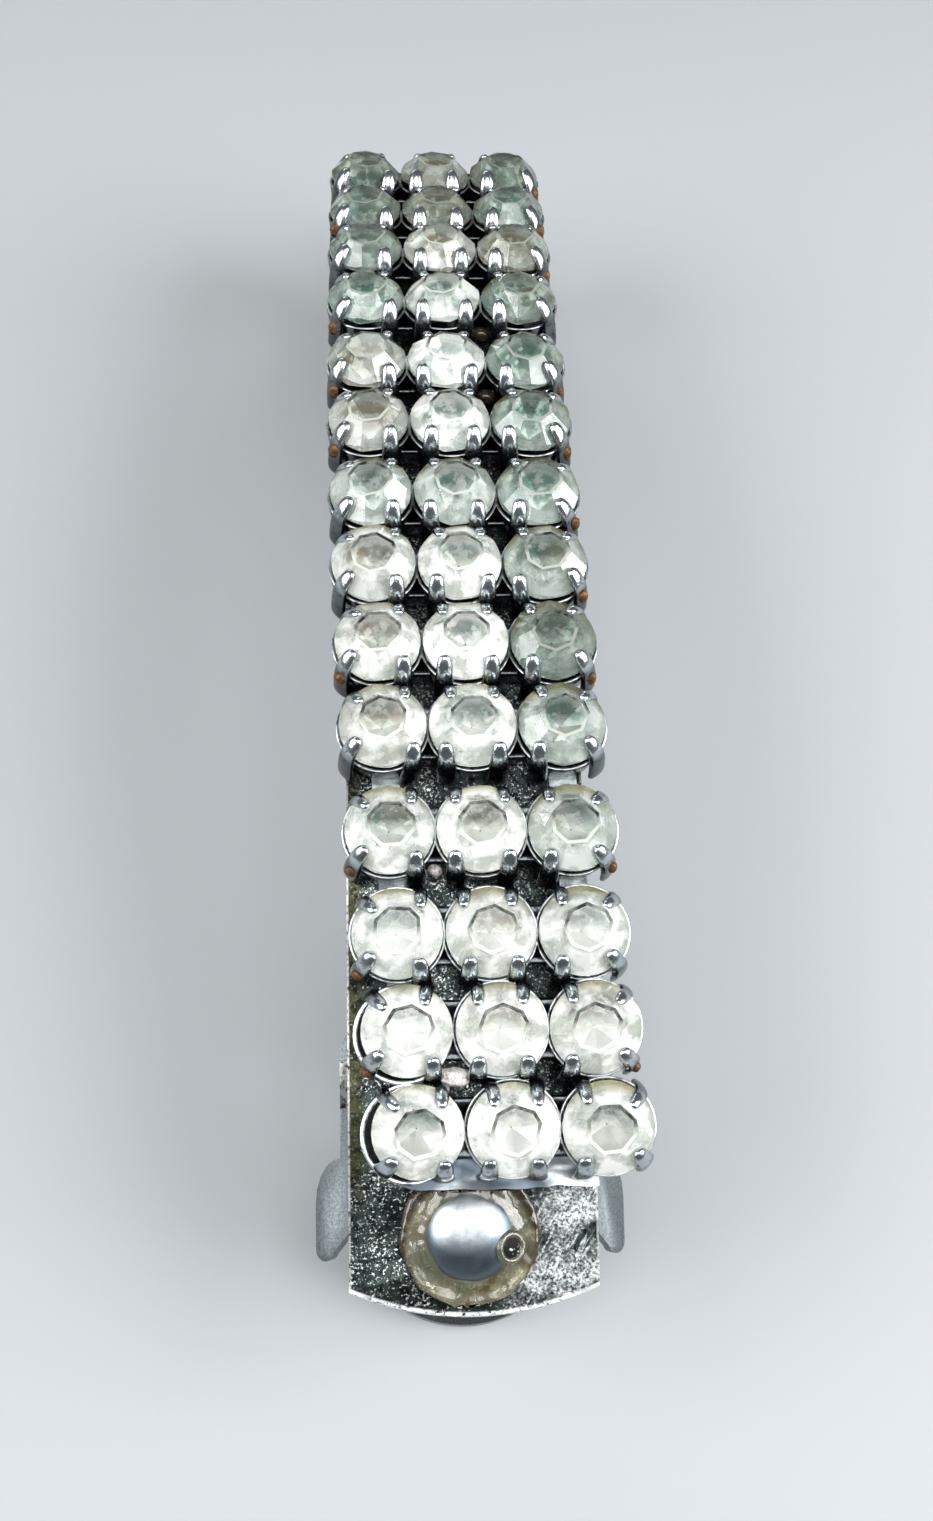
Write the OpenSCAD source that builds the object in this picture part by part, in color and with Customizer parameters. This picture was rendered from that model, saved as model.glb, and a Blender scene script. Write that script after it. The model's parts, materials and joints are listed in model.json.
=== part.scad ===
// Rhinestone hair clip: an arched back plate with fourteen rows of three stones,
// closed by a hinged clasp arm that a pair of squeeze wings holds and lets go.
// Millimetres. X runs across the clip, Y along it from the catch to the hinge, Z up.

/* [Back plate] */
// Length of the plate along its arched top
plate_length = 70.2; // [69:0.1:74]
// Width of the plate
plate_width = 11.2; // [11:0.1:12.4]
// Thickness of the plate's sheet
plate_thickness = 0.5; // [0.4:0.05:0.7]
// Radius of the arch, at the plate's top
arch_radius = 90; // [84:1:110]
// How far the catch end's curved edge stands past its corners
end_bulge = 1.1; // [0.6:0.1:1.5]

/* [Stones] */
// Diameter of a stone at its girdle
stone_d = 4.1; // [3.9:0.05:4.2]
// Diameter of the circle round a stone's eight-sided table
table_d = 2.2; // [1.8:0.05:2.5]
// Height of the crown, from the girdle to the table
crown_height = 0.95; // [0.8:0.05:1.1]
// Height of the straight girdle band
girdle_height = 0.15; // [0.1:0.01:0.25]
// Depth of the pointed back, below the girdle
back_depth = 1.5; // [1.4:0.05:1.55]
// Gap between neighbouring stones in one row
stone_gap = 0.1; // [0.1:0.02:0.3]

/* [Settings] */
// Diameter of a round cup
cup_d = 4; // [3.9:0.02:4.04]
// Height of a cup's rim above the plate
rim_height = 1.6; // [1.4:0.05:1.7]
// Height of the girdle's lower edge above the rim
girdle_lift = 0.3; // [0.25:0.05:0.4]
// Width of a claw at its foot
claw_width = 0.76; // [0.6:0.02:0.8]
// Width of a claw at its tip
claw_tip_width = 0.6; // [0.5:0.02:0.7]
// Thickness of a claw
claw_thickness = 0.24; // [0.2:0.01:0.26]
// How far a claw reaches in over the girdle
claw_reach = 0.55; // [0.4:0.01:0.65]
// Turn of the inner claws from the row's line
inner_claw_angle = 54; // [50:1:55]
// Width of the webs between cups
web_width = 2.5; // [2:0.1:2.7]
// Height of the webs between cups
web_height = 1; // [0.6:0.05:1.2]
// Width of the straps that the rows are threaded on
strap_width = 1.3; // [1:0.1:1.5]
// Thickness of the straps that the rows are threaded on
strap_thickness = 0.25; // [0.2:0.05:0.3]

/* [Strip on the plate] */
// Distance from the plate's catch end corners to the first row's middle
strip_inset = 7.1; // [6.9:0.1:8]
// Where the far end of the strip lies, across the plate
strip_x = -0.3; // [-0.5:0.1:0.5]
// How far the strip veers sideways towards the catch end
strip_veer = 2; // [0:0.1:2.2]
// Length of the sheared end of the strip, in front of the first row
apron_length = 0.6; // [0.5:0.05:0.7]
// Thickness of the strip's sheared end
apron_thickness = 0.3; // [0.25:0.05:0.4]

/* [Rivet] */
// Diameter of the rivet's domed head
rivet_head_d = 4; // [3.6:0.1:4.2]
// Height of the rivet's domed head
rivet_head_height = 1.1; // [0.8:0.1:1.4]
// Diameter of the rivet's shank
rivet_shank_d = 2.4; // [2:0.1:2.8]
// Distance from the plate's catch end corners to the rivet
rivet_inset = 2.35; // [2.2:0.05:2.5]
// Where the rivet lies, across the plate
rivet_x = -0.2; // [-0.6:0.1:0.6]
// Width of the adhesive ring round the head
glue_width = 1.1; // [0.8:0.05:1.2]
// Height of the adhesive ring
glue_height = 0.6; // [0.4:0.05:0.8]

/* [Catch] */
// Length of the catch base along the clip
catch_length = 9; // [8.6:0.1:9.4]
// Width of the catch base
catch_width = 9.4; // [9.2:0.1:9.6]
// Thickness of the catch's sheet
catch_thickness = 0.45; // [0.35:0.05:0.5]
// Distance from the plate's catch end corners to the catch base's middle
catch_inset = 5.2; // [5:0.1:5.6]
// How far the wings reach out from the middle of the clip
wing_reach = 7.05; // [6.8:0.05:7.4]
// How far the wings' tips lie from the catch base's middle
wing_length = 4.3; // [4:0.1:4.6]
// Slope of the wings below the level
wing_slope = 35; // [30:1:42]
// Length of a hook along the clip
hook_length = 3; // [2.6:0.1:3.2]
// How far a hook's barb stands out
barb = 0.3; // [0.2:0.02:0.34]
// How far a hook reaches past the clasp arm
hook_past = 1.2; // [1:0.05:1.3]
// Length of the lugs on the plate's edges
lug_length = 2.1; // [1.6:0.1:2.4]
// How far the lugs stand out from the plate's edges
lug_proud = 0.35; // [0.2:0.05:0.4]
// Depth of the lugs below the plate's top
lug_depth = 1.3; // [1:0.1:1.6]

/* [Clasp arm] */
// Clear height between the plate and the clasp arm
arm_gap = 8; // [7.8:0.1:9]
// Width of the arm's long part
arm_width = 8.4; // [8:0.1:8.8]
// Thickness of the arm
arm_thickness = 0.8; // [0.7:0.05:0.9]
// Radius of the arm's spoon-shaped end
spoon_r = 6.2; // [6.1:0.1:6.6]
// How far the arm reaches past the plate's catch end corners
arm_overhang = 4.6; // [4.2:0.1:5]
// Radius of the bead pressed along the arm
bead_r = 0.9; // [0.8:0.05:1]

/* [Hinge] */
// Distance from the plate's far end to the hinge
hinge_inset = 1.9; // [1.8:0.1:2.2]
// Diameter of the hinge pin
pin_d = 1; // [0.8:0.05:1.1]
// Wall of the arm's rolled eye
eye_wall = 0.6; // [0.5:0.05:0.7]
// Radius of the ears' rounded ends
ear_r = 1.9; // [1.8:0.05:1.95]

/* [Tension bar] */
// Width of the tension bar
bar_width = 7; // [6:0.1:7.6]
// Thickness of the tension bar
bar_thickness = 0.4; // [0.3:0.05:0.5]
// Radius of the tension bar's bow
bar_radius = 104; // [98:1:115]
// Depth of the tension bar's trunnions below the plate's top
bar_depth = 2.4; // [2.2:0.1:2.6]
// Radius of the tension bar's trunnions
trunnion_r = 0.5; // [0.4:0.05:0.55]

/* [Clearances] */
// Gap under a soldered or riveted piece
seat = 0.02; // [0.01:0.005:0.04]
// Radial clearance of a pin in its hole
pin_clearance = 0.05; // [0.03:0.01:0.08]
// Gap between pieces that move past each other
running_gap = 0.15; // [0.1:0.01:0.2]

/* [Hidden] */

$fn = 48;
arch_fn = 480;          // sides of the big arcs
far = 200;              // longer than anything it cuts
past = 1;               // how far a cutter reaches past what it cuts

// The strip was set by hand: the gaps between its rows, from the catch end on, are uneven.
row_gaps = [0.25, 0.2, 0.65, 0.95, 0.25, 0.25, 0.2, 0.6, 0.25, 1.0, 0.6, 0.2, 0.4];
rows = len(row_gaps) + 1;
columns = 3;
column_pitch = stone_d + stone_gap;

half_length = plate_length / 2;
under_plate = plate_thickness;                       // depth of the plate's underside
arm_top = under_plate + arm_gap;                     // depth of the arm's upper face
arm_bottom = arm_top + arm_thickness;
stone_r = stone_d / 2;
cup_r = cup_d / 2;
girdle_z = rim_height + girdle_lift;                 // girdle's lower edge above the plate
girdle_top = girdle_z + girdle_height;
table_z = girdle_top + crown_height;
culet_z = girdle_z - back_depth;
facet_turn = 22.5;                                   // half the turn from one facet to the next
table_flat_r = table_d / 2 * cos(facet_turn);
culet_r = 0.12;
apron_wave = 0.1;                                    // depth of the strip's wavy sheared edge
strap_room = 0.3;                                    // side room of a strap in a cup's slot

rivet_s = -half_length + rivet_inset;
catch_s = -half_length + catch_inset;
strip_front_s = row_s(0) - cup_r - apron_length - apron_wave;
hinge_s = half_length - hinge_inset;

// A flat catch base under the hollow side of the arch touches it at its two ends.
catch_sag = pow(catch_length / 2, 2) / (2 * (arch_radius - plate_thickness)) + seat;
catch_under = catch_sag + catch_thickness;           // catch base's underside, below the plate's
bend_gap = 0.05;                                     // between the catch base and a wing's bend
joggle = 0.55;                                       // step inwards of a hook leg
flap_x = catch_width / 2 + catch_thickness / 2 + bend_gap;
hook_x = flap_x - joggle;                            // middle of a hook leg's lower part
hook_y = 0.2;                                        // where a hook starts, from the catch's middle
bend_z = -catch_under - bend_gap;                    // height of the wings' bend below the plate's underside
eye_r = pin_d / 2 + pin_clearance + eye_wall;
pin_depth = arm_top + eye_r;
ear_thickness = plate_thickness;
ear_inner_x = plate_width / 2 - ear_thickness;

// Place along the arch, in degrees from its crown, of a length measured on the plate's top.
function angle_at(s) = s / arch_radius * 180 / PI;
// Y of a place along the arch, at a depth below the plate's top.
function y_at(s, depth) = (arch_radius - depth) * sin(angle_at(s));
// Height, from the arch's crown, of a place along the arch at a depth below the plate's top.
function z_at(s, depth) = (arch_radius - depth) * cos(angle_at(s)) - arch_radius;
// Sum of the first n entries of a list.
function sum_of(list, n) = n <= 0 ? 0 : list[n - 1] + sum_of(list, n - 1);
// Place along the arch and across the plate of a row; row 0 is the one nearest the catch.
function row_s(i) = -half_length + strip_inset + i * cup_d + sum_of(row_gaps, i);
function row_x(i) = strip_x + strip_veer * pow(1 - i / (rows - 1), 3);
function column_x(c) = (c - (columns - 1) / 2) * column_pitch;

// The origin is the middle of the clip's underside: all is drawn from the arch's crown and moved there.
arm_tip_y = y_at(-half_length - arm_overhang, arm_top);
low_z = sqrt(pow(arch_radius - arm_bottom, 2) - pow(arm_tip_y, 2)) - arch_radius;
right_x = row_x(0) + column_x(2) + stone_r;
left_x = -wing_reach - catch_thickness / 2 * sin(wing_slope);
shift_x = -(left_x + right_x) / 2;
shift_y = end_bulge / 2;                             // only the catch end stands past the corners

module placed() {
    translate([shift_x, shift_y, -low_z]) children();
}

// Children's Z is square to the plate at that place, and their Y runs along it.
module on_arch(s, depth = 0) {
    translate([0, 0, -arch_radius])
        rotate([-angle_at(s), 0, 0])
            translate([0, 0, arch_radius - depth]) children();
}

// Part of a hoop round the arch's axis, between two places, its outer face at a depth below the plate's top.
module arch_band(depth, thickness, width, from_s, to_s) {
    translate([0, 0, -arch_radius])
        rotate([-angle_at(from_s), 0, 0])
            rotate([0, -90, 0])
                rotate_extrude(angle = angle_at(to_s - from_s), $fn = arch_fn)
                    translate([arch_radius - depth - thickness, -width / 2])
                        square([thickness, width]);
}

// ---- Back plate ----

// The plate's outline from above: square at the hinge, a shallow curve at the catch.
module plate_outline() {
    end_y = y_at(half_length, 0);
    bulge_r = (pow(plate_width / 2, 2) + pow(end_bulge, 2)) / (2 * end_bulge);
    intersection() {
        translate([-plate_width / 2, -end_y - end_bulge])
            square([plate_width, 2 * end_y + end_bulge]);
        translate([0, -end_y - end_bulge + bulge_r + far / 2])
            union() {
                translate([0, -far / 2]) circle(r = bulge_r, $fn = 180);
                translate([-far / 2, -far / 2]) square([far, far * 1.5]);
            }
    }
}

// An ear's side outline, about the hinge pin's middle, with room up to the plate.
module ear_outline() {
    rise = pin_depth - plate_thickness / 2;
    gusset = 2.2;                                    // how far the ear spreads along the plate
    drop = 0.2;                                      // the round end's middle lies below the pin
    difference() {
        union() {
            translate([0, -drop]) circle(r = ear_r);
            translate([-ear_r, -drop]) square([2 * ear_r, rise + drop]);
            difference() {
                translate([-ear_r - gusset, rise - gusset]) square([gusset + ear_r, gusset]);
                translate([-ear_r - gusset, rise - gusset]) circle(r = gusset - plate_thickness / 2);
            }
        }
        circle(r = pin_d / 2 + pin_clearance);
        translate([0, pin_depth - bar_depth]) circle(r = trunnion_r + pin_clearance);
    }
}

module hinge_ears() {
    for (side = [-1, 1])
        on_arch(hinge_s, pin_depth)
            translate([side > 0 ? ear_inner_x : -ear_inner_x - ear_thickness, 0, 0])
                rotate([90, 0, 90]) linear_extrude(ear_thickness) ear_outline();
}

// Folded lugs on the plate's edges, between the catch and the tension bar's free end.
module edge_lugs() {
    past_catch = 0.4;                                // how far they reach past the catch base
    root = 0.1;                                      // how far they run into the plate
    step = 0.05;                                     // from the plate's top down to theirs
    for (side = [-1, 1])
        on_arch(catch_s + catch_length / 2 - lug_length / 2 + past_catch, lug_depth)
            translate([side > 0 ? plate_width / 2 - root : -plate_width / 2 - lug_proud, -lug_length / 2, 0])
                cube([lug_proud + root, lug_length, lug_depth - step]);
}

module back_plate() {
    color("silver")
        difference() {
            union() {
                intersection() {
                    arch_band(0, plate_thickness, plate_width, -half_length - 2 * end_bulge, half_length);
                    translate([0, 0, -arch_radius / 2]) linear_extrude(arch_radius) plate_outline();
                }
                hinge_ears();
                edge_lugs();
            }
            on_arch(rivet_s, plate_thickness + past) translate([rivet_x, 0, 0])
                cylinder(d = rivet_shank_d + 2 * seat, h = plate_thickness + 2 * past);
        }
}

// ---- Catch: rivet, adhesive, base and wings ----

module dome(base_r, height, extra = 0) {
    ball_r = (pow(base_r, 2) + pow(height, 2)) / (2 * height);
    translate([0, 0, height - ball_r]) sphere(r = ball_r + extra, $fn = 96);
}

module catch_rivet() {
    tail_z = -plate_thickness - catch_under - 2 * seat;
    tail_height = 0.45;
    tail_flare = 0.6;                                // how much wider the spread tail gets, twice
    color("gainsboro") on_arch(rivet_s) translate([rivet_x, 0, seat]) {
        intersection() {
            dome(rivet_head_d / 2, rivet_head_height);
            translate([0, 0, rivet_head_height / 2])
                cube([rivet_head_d + past, rivet_head_d + past, rivet_head_height], center = true);
        }
        translate([0, 0, tail_z]) cylinder(d = rivet_shank_d, h = -tail_z + rivet_head_height / 3);
        translate([0, 0, tail_z - tail_height])
            cylinder(d1 = rivet_shank_d + tail_flare, d2 = rivet_shank_d + 2 * tail_flare, h = tail_height);
    }
}

// Old adhesive that crept round the head and stops at the end strip.
module glue_ring() {
    inner_r = rivet_head_d / 2 - 0.2;                // where the adhesive is highest
    color("goldenrod") on_arch(rivet_s) translate([rivet_x, 0, seat])
        difference() {
            rotate_extrude($fn = 96)
                polygon(concat([[0, 0]], [for (a = [0:18:90])
                    [inner_r + (glue_width + 0.2) * cos(a), glue_height * sin(a)]], [[0, glue_height]]));
            dome(rivet_head_d / 2, rivet_head_height, seat);
            translate([0, 0, -past]) cylinder(d = rivet_head_d + 2 * seat, h = past + seat);
            translate([-far / 2, strip_front_s - rivet_s - seat, -past]) cube([far, far, far]);
            translate([-far / 2, -rivet_inset - end_bulge / 2 - far, -past]) cube([far, far, far]);
        }
}

module catch_base() {
    color("lightsteelblue") difference() {
        on_arch(catch_s, under_plate)
            translate([-catch_width / 2, -catch_length / 2, -catch_under])
                cube([catch_width, catch_length, catch_thickness]);
        on_arch(rivet_s, under_plate + catch_under + past)
            translate([rivet_x, 0, 0]) cylinder(d = rivet_shank_d + 2 * seat, h = catch_under + past);
    }
}

wing_root_y = 2 - wing_length;                       // near end of a wing's root, from the catch's middle
wing_tip_r = 0.5;

// A wing's flat outline: X outwards down the slope, Y along the clip, both from the bend's middle.
// A narrow ledge flares out in a quarter ellipse and ends in a round tip.
module wing_outline(reach, ledge) {
    ledge_y = 2.7;                                   // far end of the ledge
    flare_y = 0.4;                                   // where the flare starts
    flare_length = 2.2;
    polygon(concat([[0, ledge_y], [ledge, ledge_y]],
        [for (a = [0:18:90]) [ledge + (reach - ledge) * sin(a), flare_y - flare_length * (1 - cos(a))]],
        [[reach, wing_tip_r - wing_length], [reach - 1.8 * wing_tip_r, wing_tip_r / 2 - wing_length],
            [0, wing_root_y]]));
    translate([reach - wing_tip_r, wing_tip_r - wing_length]) circle(r = wing_tip_r);
}

// A hook leg in cross-section: down from the bend, a step inwards, then the barb and its slanted nose.
module hook_section(web_low) {
    t = catch_thickness;
    low = -(arm_gap + arm_thickness) - hook_past;
    out = hook_x + t / 2;                            // the leg's outer face
    nose = 0.65;                                     // height of the slanted nose
    barb_height = 0.35;
    step_top = 0.6;                                  // from the wing's root down to the step
    step_low = 2.4;
    inner_drop = 0.1;                                // the step's inner corners lie a little lower
    polygon([[flap_x + t / 2, bend_z], [flap_x + t / 2, web_low - step_top], [out, web_low - step_low],
        [out, low + nose + barb_height], [out + barb, low + nose + barb_height / 2], [out + barb, low + nose],
        [out - t / 3, low], [hook_x - t / 2, low], [hook_x - t / 2, web_low - step_low - inner_drop],
        [flap_x - t / 2, web_low - step_top - inner_drop], [flap_x - t / 2, bend_z]]);
}

// One side of the catch: bend, flared wing and hook leg. It turns about its bend line.
module release_wing(side) {
    t = catch_thickness;
    web_drop = 0.55;                                 // from the bend to where the wing leaves the web
    ledge_proud = 0.2;                               // how far the ledge shows past the plate's edge
    web_low = bend_z - web_drop;
    web_length = hook_y + hook_length - wing_root_y;
    wing_run = (wing_reach - flap_x) / cos(wing_slope);
    ledge_run = (plate_width / 2 + ledge_proud - flap_x) / cos(wing_slope);
    color("lightsteelblue") on_arch(catch_s, under_plate) mirror([side < 0 ? 1 : 0, 0, 0]) {
        translate([flap_x - t / 2, wing_root_y, web_low]) cube([t, web_length, web_drop]);
        translate([flap_x, wing_root_y, bend_z]) rotate([-90, 0, 0]) cylinder(d = t, h = web_length);
        translate([flap_x, 0, web_low + t / 2]) rotate([0, wing_slope, 0])
            translate([0, 0, -t / 2]) linear_extrude(t) wing_outline(wing_run, ledge_run);
        translate([0, hook_y + hook_length, 0]) rotate([90, 0, 0]) linear_extrude(hook_length)
            hook_section(web_low);
    }
}

// ---- Clasp arm and hinge ----

// The arm's window is as wide as the hooks' barbs plus a running gap.
window_half_width = hook_x + catch_thickness / 2 + barb + running_gap / 2;
// The arm swings away at a slant to the hooks, so the window is longer on the hinge's side.
window_back = (arm_thickness + hook_past) * sin(-angle_at(catch_s)) + 2 * running_gap;
window_front = 2 * running_gap;

// The arm from above: a round spoon end, smooth shoulders, and a straight run to the hinge.
module arm_outline() {
    spoon_y = arm_tip_y + spoon_r;
    shoulder_y = y_at(catch_s, arm_top) + 4.6;
    shoulder_length = 2.6;
    shoulder_steps = 8;
    hinge_y = y_at(hinge_s, arm_top);
    arm_r = arm_width / 2;
    shoulder = [for (k = [0:shoulder_steps])
        [arm_r + (spoon_r - arm_r) * (1 + cos(180 * k / shoulder_steps)) / 2,
            shoulder_y + shoulder_length * k / shoulder_steps]];
    right = concat([[spoon_r, spoon_y]], shoulder, [[arm_r, hinge_y]]);
    left = [for (k = [len(right) - 1:-1:0]) [-right[k][0], right[k][1]]];
    translate([0, spoon_y]) circle(r = spoon_r, $fn = 96);
    polygon(concat(right, left));
}

module clasp_arm() {
    bead_from = catch_s + 7.5;
    bead_to = hinge_s - 4;
    bead_depth = arm_bottom - 0.55 * bead_r;         // depth of the bead's middle
    shave = 0.001;
    color("silver") difference() {
        union() {
            intersection() {
                arch_band(arm_top, arm_thickness, far, -half_length - 2 * arm_overhang, half_length);
                translate([0, 0, -arch_radius / 2]) linear_extrude(arch_radius / 2) arm_outline();
            }
            // pressed bead, half-round in section, with round ends
            translate([0, 0, -arch_radius])
                rotate([-angle_at(bead_from), 0, 0]) rotate([0, -90, 0])
                    rotate_extrude(angle = angle_at(bead_to - bead_from), $fn = arch_fn)
                        translate([arch_radius - bead_depth, 0]) circle(r = bead_r);
            for (s = [bead_from, bead_to])
                on_arch(s, bead_depth) sphere(r = bead_r);
            // rolled eye round the hinge pin
            on_arch(hinge_s, pin_depth)
                rotate([0, 90, 0]) cylinder(r = eye_r, h = arm_width, center = true);
        }
        on_arch(hinge_s, pin_depth)
            rotate([0, 90, 0]) cylinder(r = pin_d / 2 + pin_clearance, h = far, center = true);
        // the bead stays below the arm's upper face
        translate([0, 0, -arch_radius]) rotate([0, 90, 0])
            difference() {
                cylinder(r = arch_radius, h = 2 * bead_r + past, center = true, $fn = arch_fn);
                cylinder(r = arch_radius - arm_top - shave, h = far, center = true, $fn = arch_fn);
            }
        on_arch(catch_s, arm_bottom + past)
            translate([-window_half_width, hook_y - window_front, 0])
                cube([2 * window_half_width, window_front + hook_length + window_back,
                    arm_thickness + 2 * past]);
    }
}

module hinge_pin() {
    head_r = pin_d / 2 + 0.35;
    head_height = 0.3;
    head_taper = 0.15;
    pin_x = plate_width / 2 + seat;
    color("gainsboro") on_arch(hinge_s, pin_depth) rotate([0, 90, 0]) {
        cylinder(d = pin_d, h = 2 * pin_x + head_height, center = true);
        for (side = [0, 1])
            mirror([0, 0, side]) translate([0, 0, pin_x])
                cylinder(r1 = head_r, r2 = head_r - head_taper, h = head_height);
    }
}

// ---- Tension bar ----

bar_pivot_y = y_at(hinge_s, bar_depth);
bar_pivot_z = z_at(hinge_s, bar_depth);
bar_free_y = y_at(catch_s + 1.2, bar_depth);         // the free end stops over the catch
bar_crown_z = bar_pivot_z + bar_radius - sqrt(pow(bar_radius, 2) - pow(bar_pivot_y, 2));

// A bowed leaf with a round free end, hung on two trunnions in the plate's ears.
module tension_bar() {
    end_r = bar_width / 2;
    color("lightsteelblue") union() {
        intersection() {
            translate([0, 0, bar_crown_z - bar_radius]) rotate([0, 90, 0]) difference() {
                cylinder(r = bar_radius + bar_thickness / 2, h = bar_width, center = true, $fn = arch_fn);
                cylinder(r = bar_radius - bar_thickness / 2, h = far, center = true, $fn = arch_fn);
            }
            translate([0, 0, bar_crown_z - bar_radius / 4]) linear_extrude(bar_radius / 2) {
                translate([0, bar_free_y + end_r]) circle(r = end_r);
                translate([-end_r, bar_free_y + end_r]) square([bar_width, bar_pivot_y - bar_free_y - end_r]);
            }
        }
        translate([0, bar_pivot_y, bar_pivot_z]) rotate([0, 90, 0])
            cylinder(r = trunnion_r, h = 2 * (plate_width / 2 - seat), center = true);
    }
}

// ---- Settings ----

// The crown and the back slope evenly from the girdle to the table and to the culet.
crown_slope = atan2(crown_height, stone_r - table_flat_r);
back_slope = back_depth / (stone_r - culet_r);

// Radius of the cone round the stone's back, at a height above the plate.
function back_corner_r(z) = (culet_r + (z - culet_z) / back_slope) / cos(facet_turn);

// A claw from the side: X outwards from the stone's middle, Y up. It follows the crown, lifted off it.
module claw_side(lift) {
    inner_r = stone_r + seat;
    outer_r = inner_r + claw_thickness;
    tip_r = stone_r - claw_reach - claw_tip_width / 2;
    // height, at a radius, of a line parallel to the crown and square to it by the given amount
    function over_crown(r, off) = girdle_top + off / cos(crown_slope) + (stone_r - r) * tan(crown_slope);
    under = seat + lift;
    root_r = cup_r - 0.15;                           // the claw grows out of the cup's wall
    foot_z = 0.2;
    polygon([[root_r, foot_z], [root_r, rim_height], [inner_r, rim_height],
        [inner_r, over_crown(inner_r, under)], [tip_r, over_crown(tip_r, under)],
        [tip_r, over_crown(tip_r, under + claw_thickness)],
        [inner_r, over_crown(inner_r, under + claw_thickness)],
        [outer_r, over_crown(inner_r, under + claw_thickness / 2)], [outer_r, foot_z]]);
}

// A claw from above: it narrows to a round tip.
module claw_outline() {
    tip_x = stone_r - claw_reach;
    polygon([[tip_x, -claw_tip_width / 2], [stone_r, -claw_width / 2], [stone_r + past, -claw_width / 2],
        [stone_r + past, claw_width / 2], [stone_r, claw_width / 2], [tip_x, claw_tip_width / 2]]);
    translate([tip_x, 0]) circle(d = claw_tip_width, $fn = 32);
}

module claw(turn) {
    // off the middle of a facet the crown is a little higher
    off_facet = abs(turn - 45 * round(turn / 45));
    lift = stone_r * (1 / cos(facet_turn) - 1) * off_facet / facet_turn * sin(crown_slope);
    rotate([0, 0, turn]) intersection() {
        rotate([90, 0, 0]) linear_extrude(claw_width + past, center = true) claw_side(lift);
        linear_extrude(table_z + past) claw_outline();
    }
}

// Cup number c of a row: its claws at the row's ends stand at the corners, the others turn inwards.
module cup(c) {
    left_turn = c == 0 ? 45 : inner_claw_angle;
    right_turn = c == columns - 1 ? 45 : inner_claw_angle;
    difference() {
        union() {
            cylinder(r = cup_r, h = rim_height);
            for (y_side = [-1, 1]) {
                claw(y_side * right_turn);
                claw(y_side * (180 - left_turn));
            }
        }
        // the seat, a cone that clears the corners of the stone's back
        translate([0, 0, culet_z - seat])
            cylinder(r1 = back_corner_r(culet_z) + seat, r2 = back_corner_r(rim_height + 2 * seat) + seat,
                h = rim_height - culet_z + 3 * seat);
    }
}

// The wavy, sheared end of the strip in front of the row nearest the catch.
module apron() {
    left = column_x(0) - 1.3;                        // it is torn off short at both sides
    right = column_x(2) + 0.2;
    steps = 24;
    ripple = 47;                                     // degrees of each wave per step
    swell = 7.5;
    wave = [for (k = [0:steps])
        [left + (right - left) * k / steps,
            -cup_r - apron_length + apron_wave * sin(k * ripple) * sin(k * swell)]];
    linear_extrude(apron_thickness) polygon(concat([[right, -cup_r / 2], [left, -cup_r / 2]], wave));
}

module setting_row(i) {
    slot_width = strap_width + 2 * strap_room;       // room for the straps under the outer cups
    slot_from = i == 0 ? -0.8 * cup_r : -cup_d;      // the straps end under the last cups
    slot_to = i == rows - 1 ? 0.8 * cup_r : cup_d;
    web_across = 1.2;
    color("silver") on_arch(row_s(i), -seat) translate([row_x(i), 0, 0]) difference() {
        union() {
            for (c = [0:columns - 1]) translate([column_x(c), 0, 0]) cup(c);
            for (c = [0:columns - 2])
                translate([column_x(c) + (column_pitch - web_across) / 2, -web_width / 2, 0])
                    cube([web_across, web_width, web_height]);
            if (i == 0) apron();
        }
        for (c = [0, columns - 1])
            translate([column_x(c) - slot_width / 2, slot_from, -past])
                cube([slot_width, slot_to - slot_from, past + strap_thickness + 4 * seat]);
    }
}

// ---- Stones ----

// Two crown facets and two back facets, from the side.
module facet_prism() {
    rim_out = girdle_height / (tan(crown_slope) + back_slope);
    rotate([90, 0, 0]) linear_extrude(3 * stone_d, center = true)
        polygon([[table_flat_r, table_z], [stone_r + rim_out, girdle_z + back_slope * rim_out],
            [culet_r, culet_z], [-culet_r, culet_z],
            [-stone_r - rim_out, girdle_z + back_slope * rim_out], [-table_flat_r, table_z]]);
}

// Eight facets above and eight below: four crossed prisms, cut round at the girdle.
module stone() {
    intersection() {
        translate([0, 0, culet_z]) cylinder(r = stone_r, h = table_z - culet_z);
        facet_prism();
        rotate([0, 0, 45]) facet_prism();
        rotate([0, 0, 90]) facet_prism();
        rotate([0, 0, 135]) facet_prism();
    }
}

module stones_row(i) {
    color("lightcyan") on_arch(row_s(i), -seat) translate([row_x(i), 0, 0])
        for (c = [0:columns - 1]) translate([column_x(c), 0, 0]) stone();
}

// ---- Straps ----

// A strap under one outer column: it bends and veers with the rows that are threaded on it.
module strap(c) {
    lap = 0.15;                                      // how far a stretch runs into the next
    color("silver") for (i = [0:rows - 2]) {
        length = row_s(i + 1) - row_s(i);
        veer = atan2(row_x(i) - row_x(i + 1), length);
        on_arch((row_s(i) + row_s(i + 1)) / 2, -seat)
            translate([(row_x(i) + row_x(i + 1)) / 2 + column_x(c), 0, 0]) rotate([0, 0, veer])
                translate([-strap_width / 2, -length / 2 - lap, 0])
                    cube([strap_width, length + 2 * lap, strap_thickness]);
    }
}

// ---- Which node is drawn ----

placed() back_plate();
placed() catch_rivet();
placed() glue_ring();
placed() catch_base();
placed() release_wing(-1);  // release_wing_left
placed() release_wing(1);  // release_wing_right
placed() clasp_arm();
placed() hinge_pin();
placed() tension_bar();
placed() strap(0);  // strap_left
placed() strap(columns - 1);  // strap_right
for (i = [0:rows - 1]) {
    number = str(i < 9 ? "0" : "", i + 1);
    placed() setting_row(i);
    placed() stones_row(i);
}
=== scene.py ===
import json
import math
import random
from functools import partial
import bmesh
import bpy
from mathutils import Matrix, Vector

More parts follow.
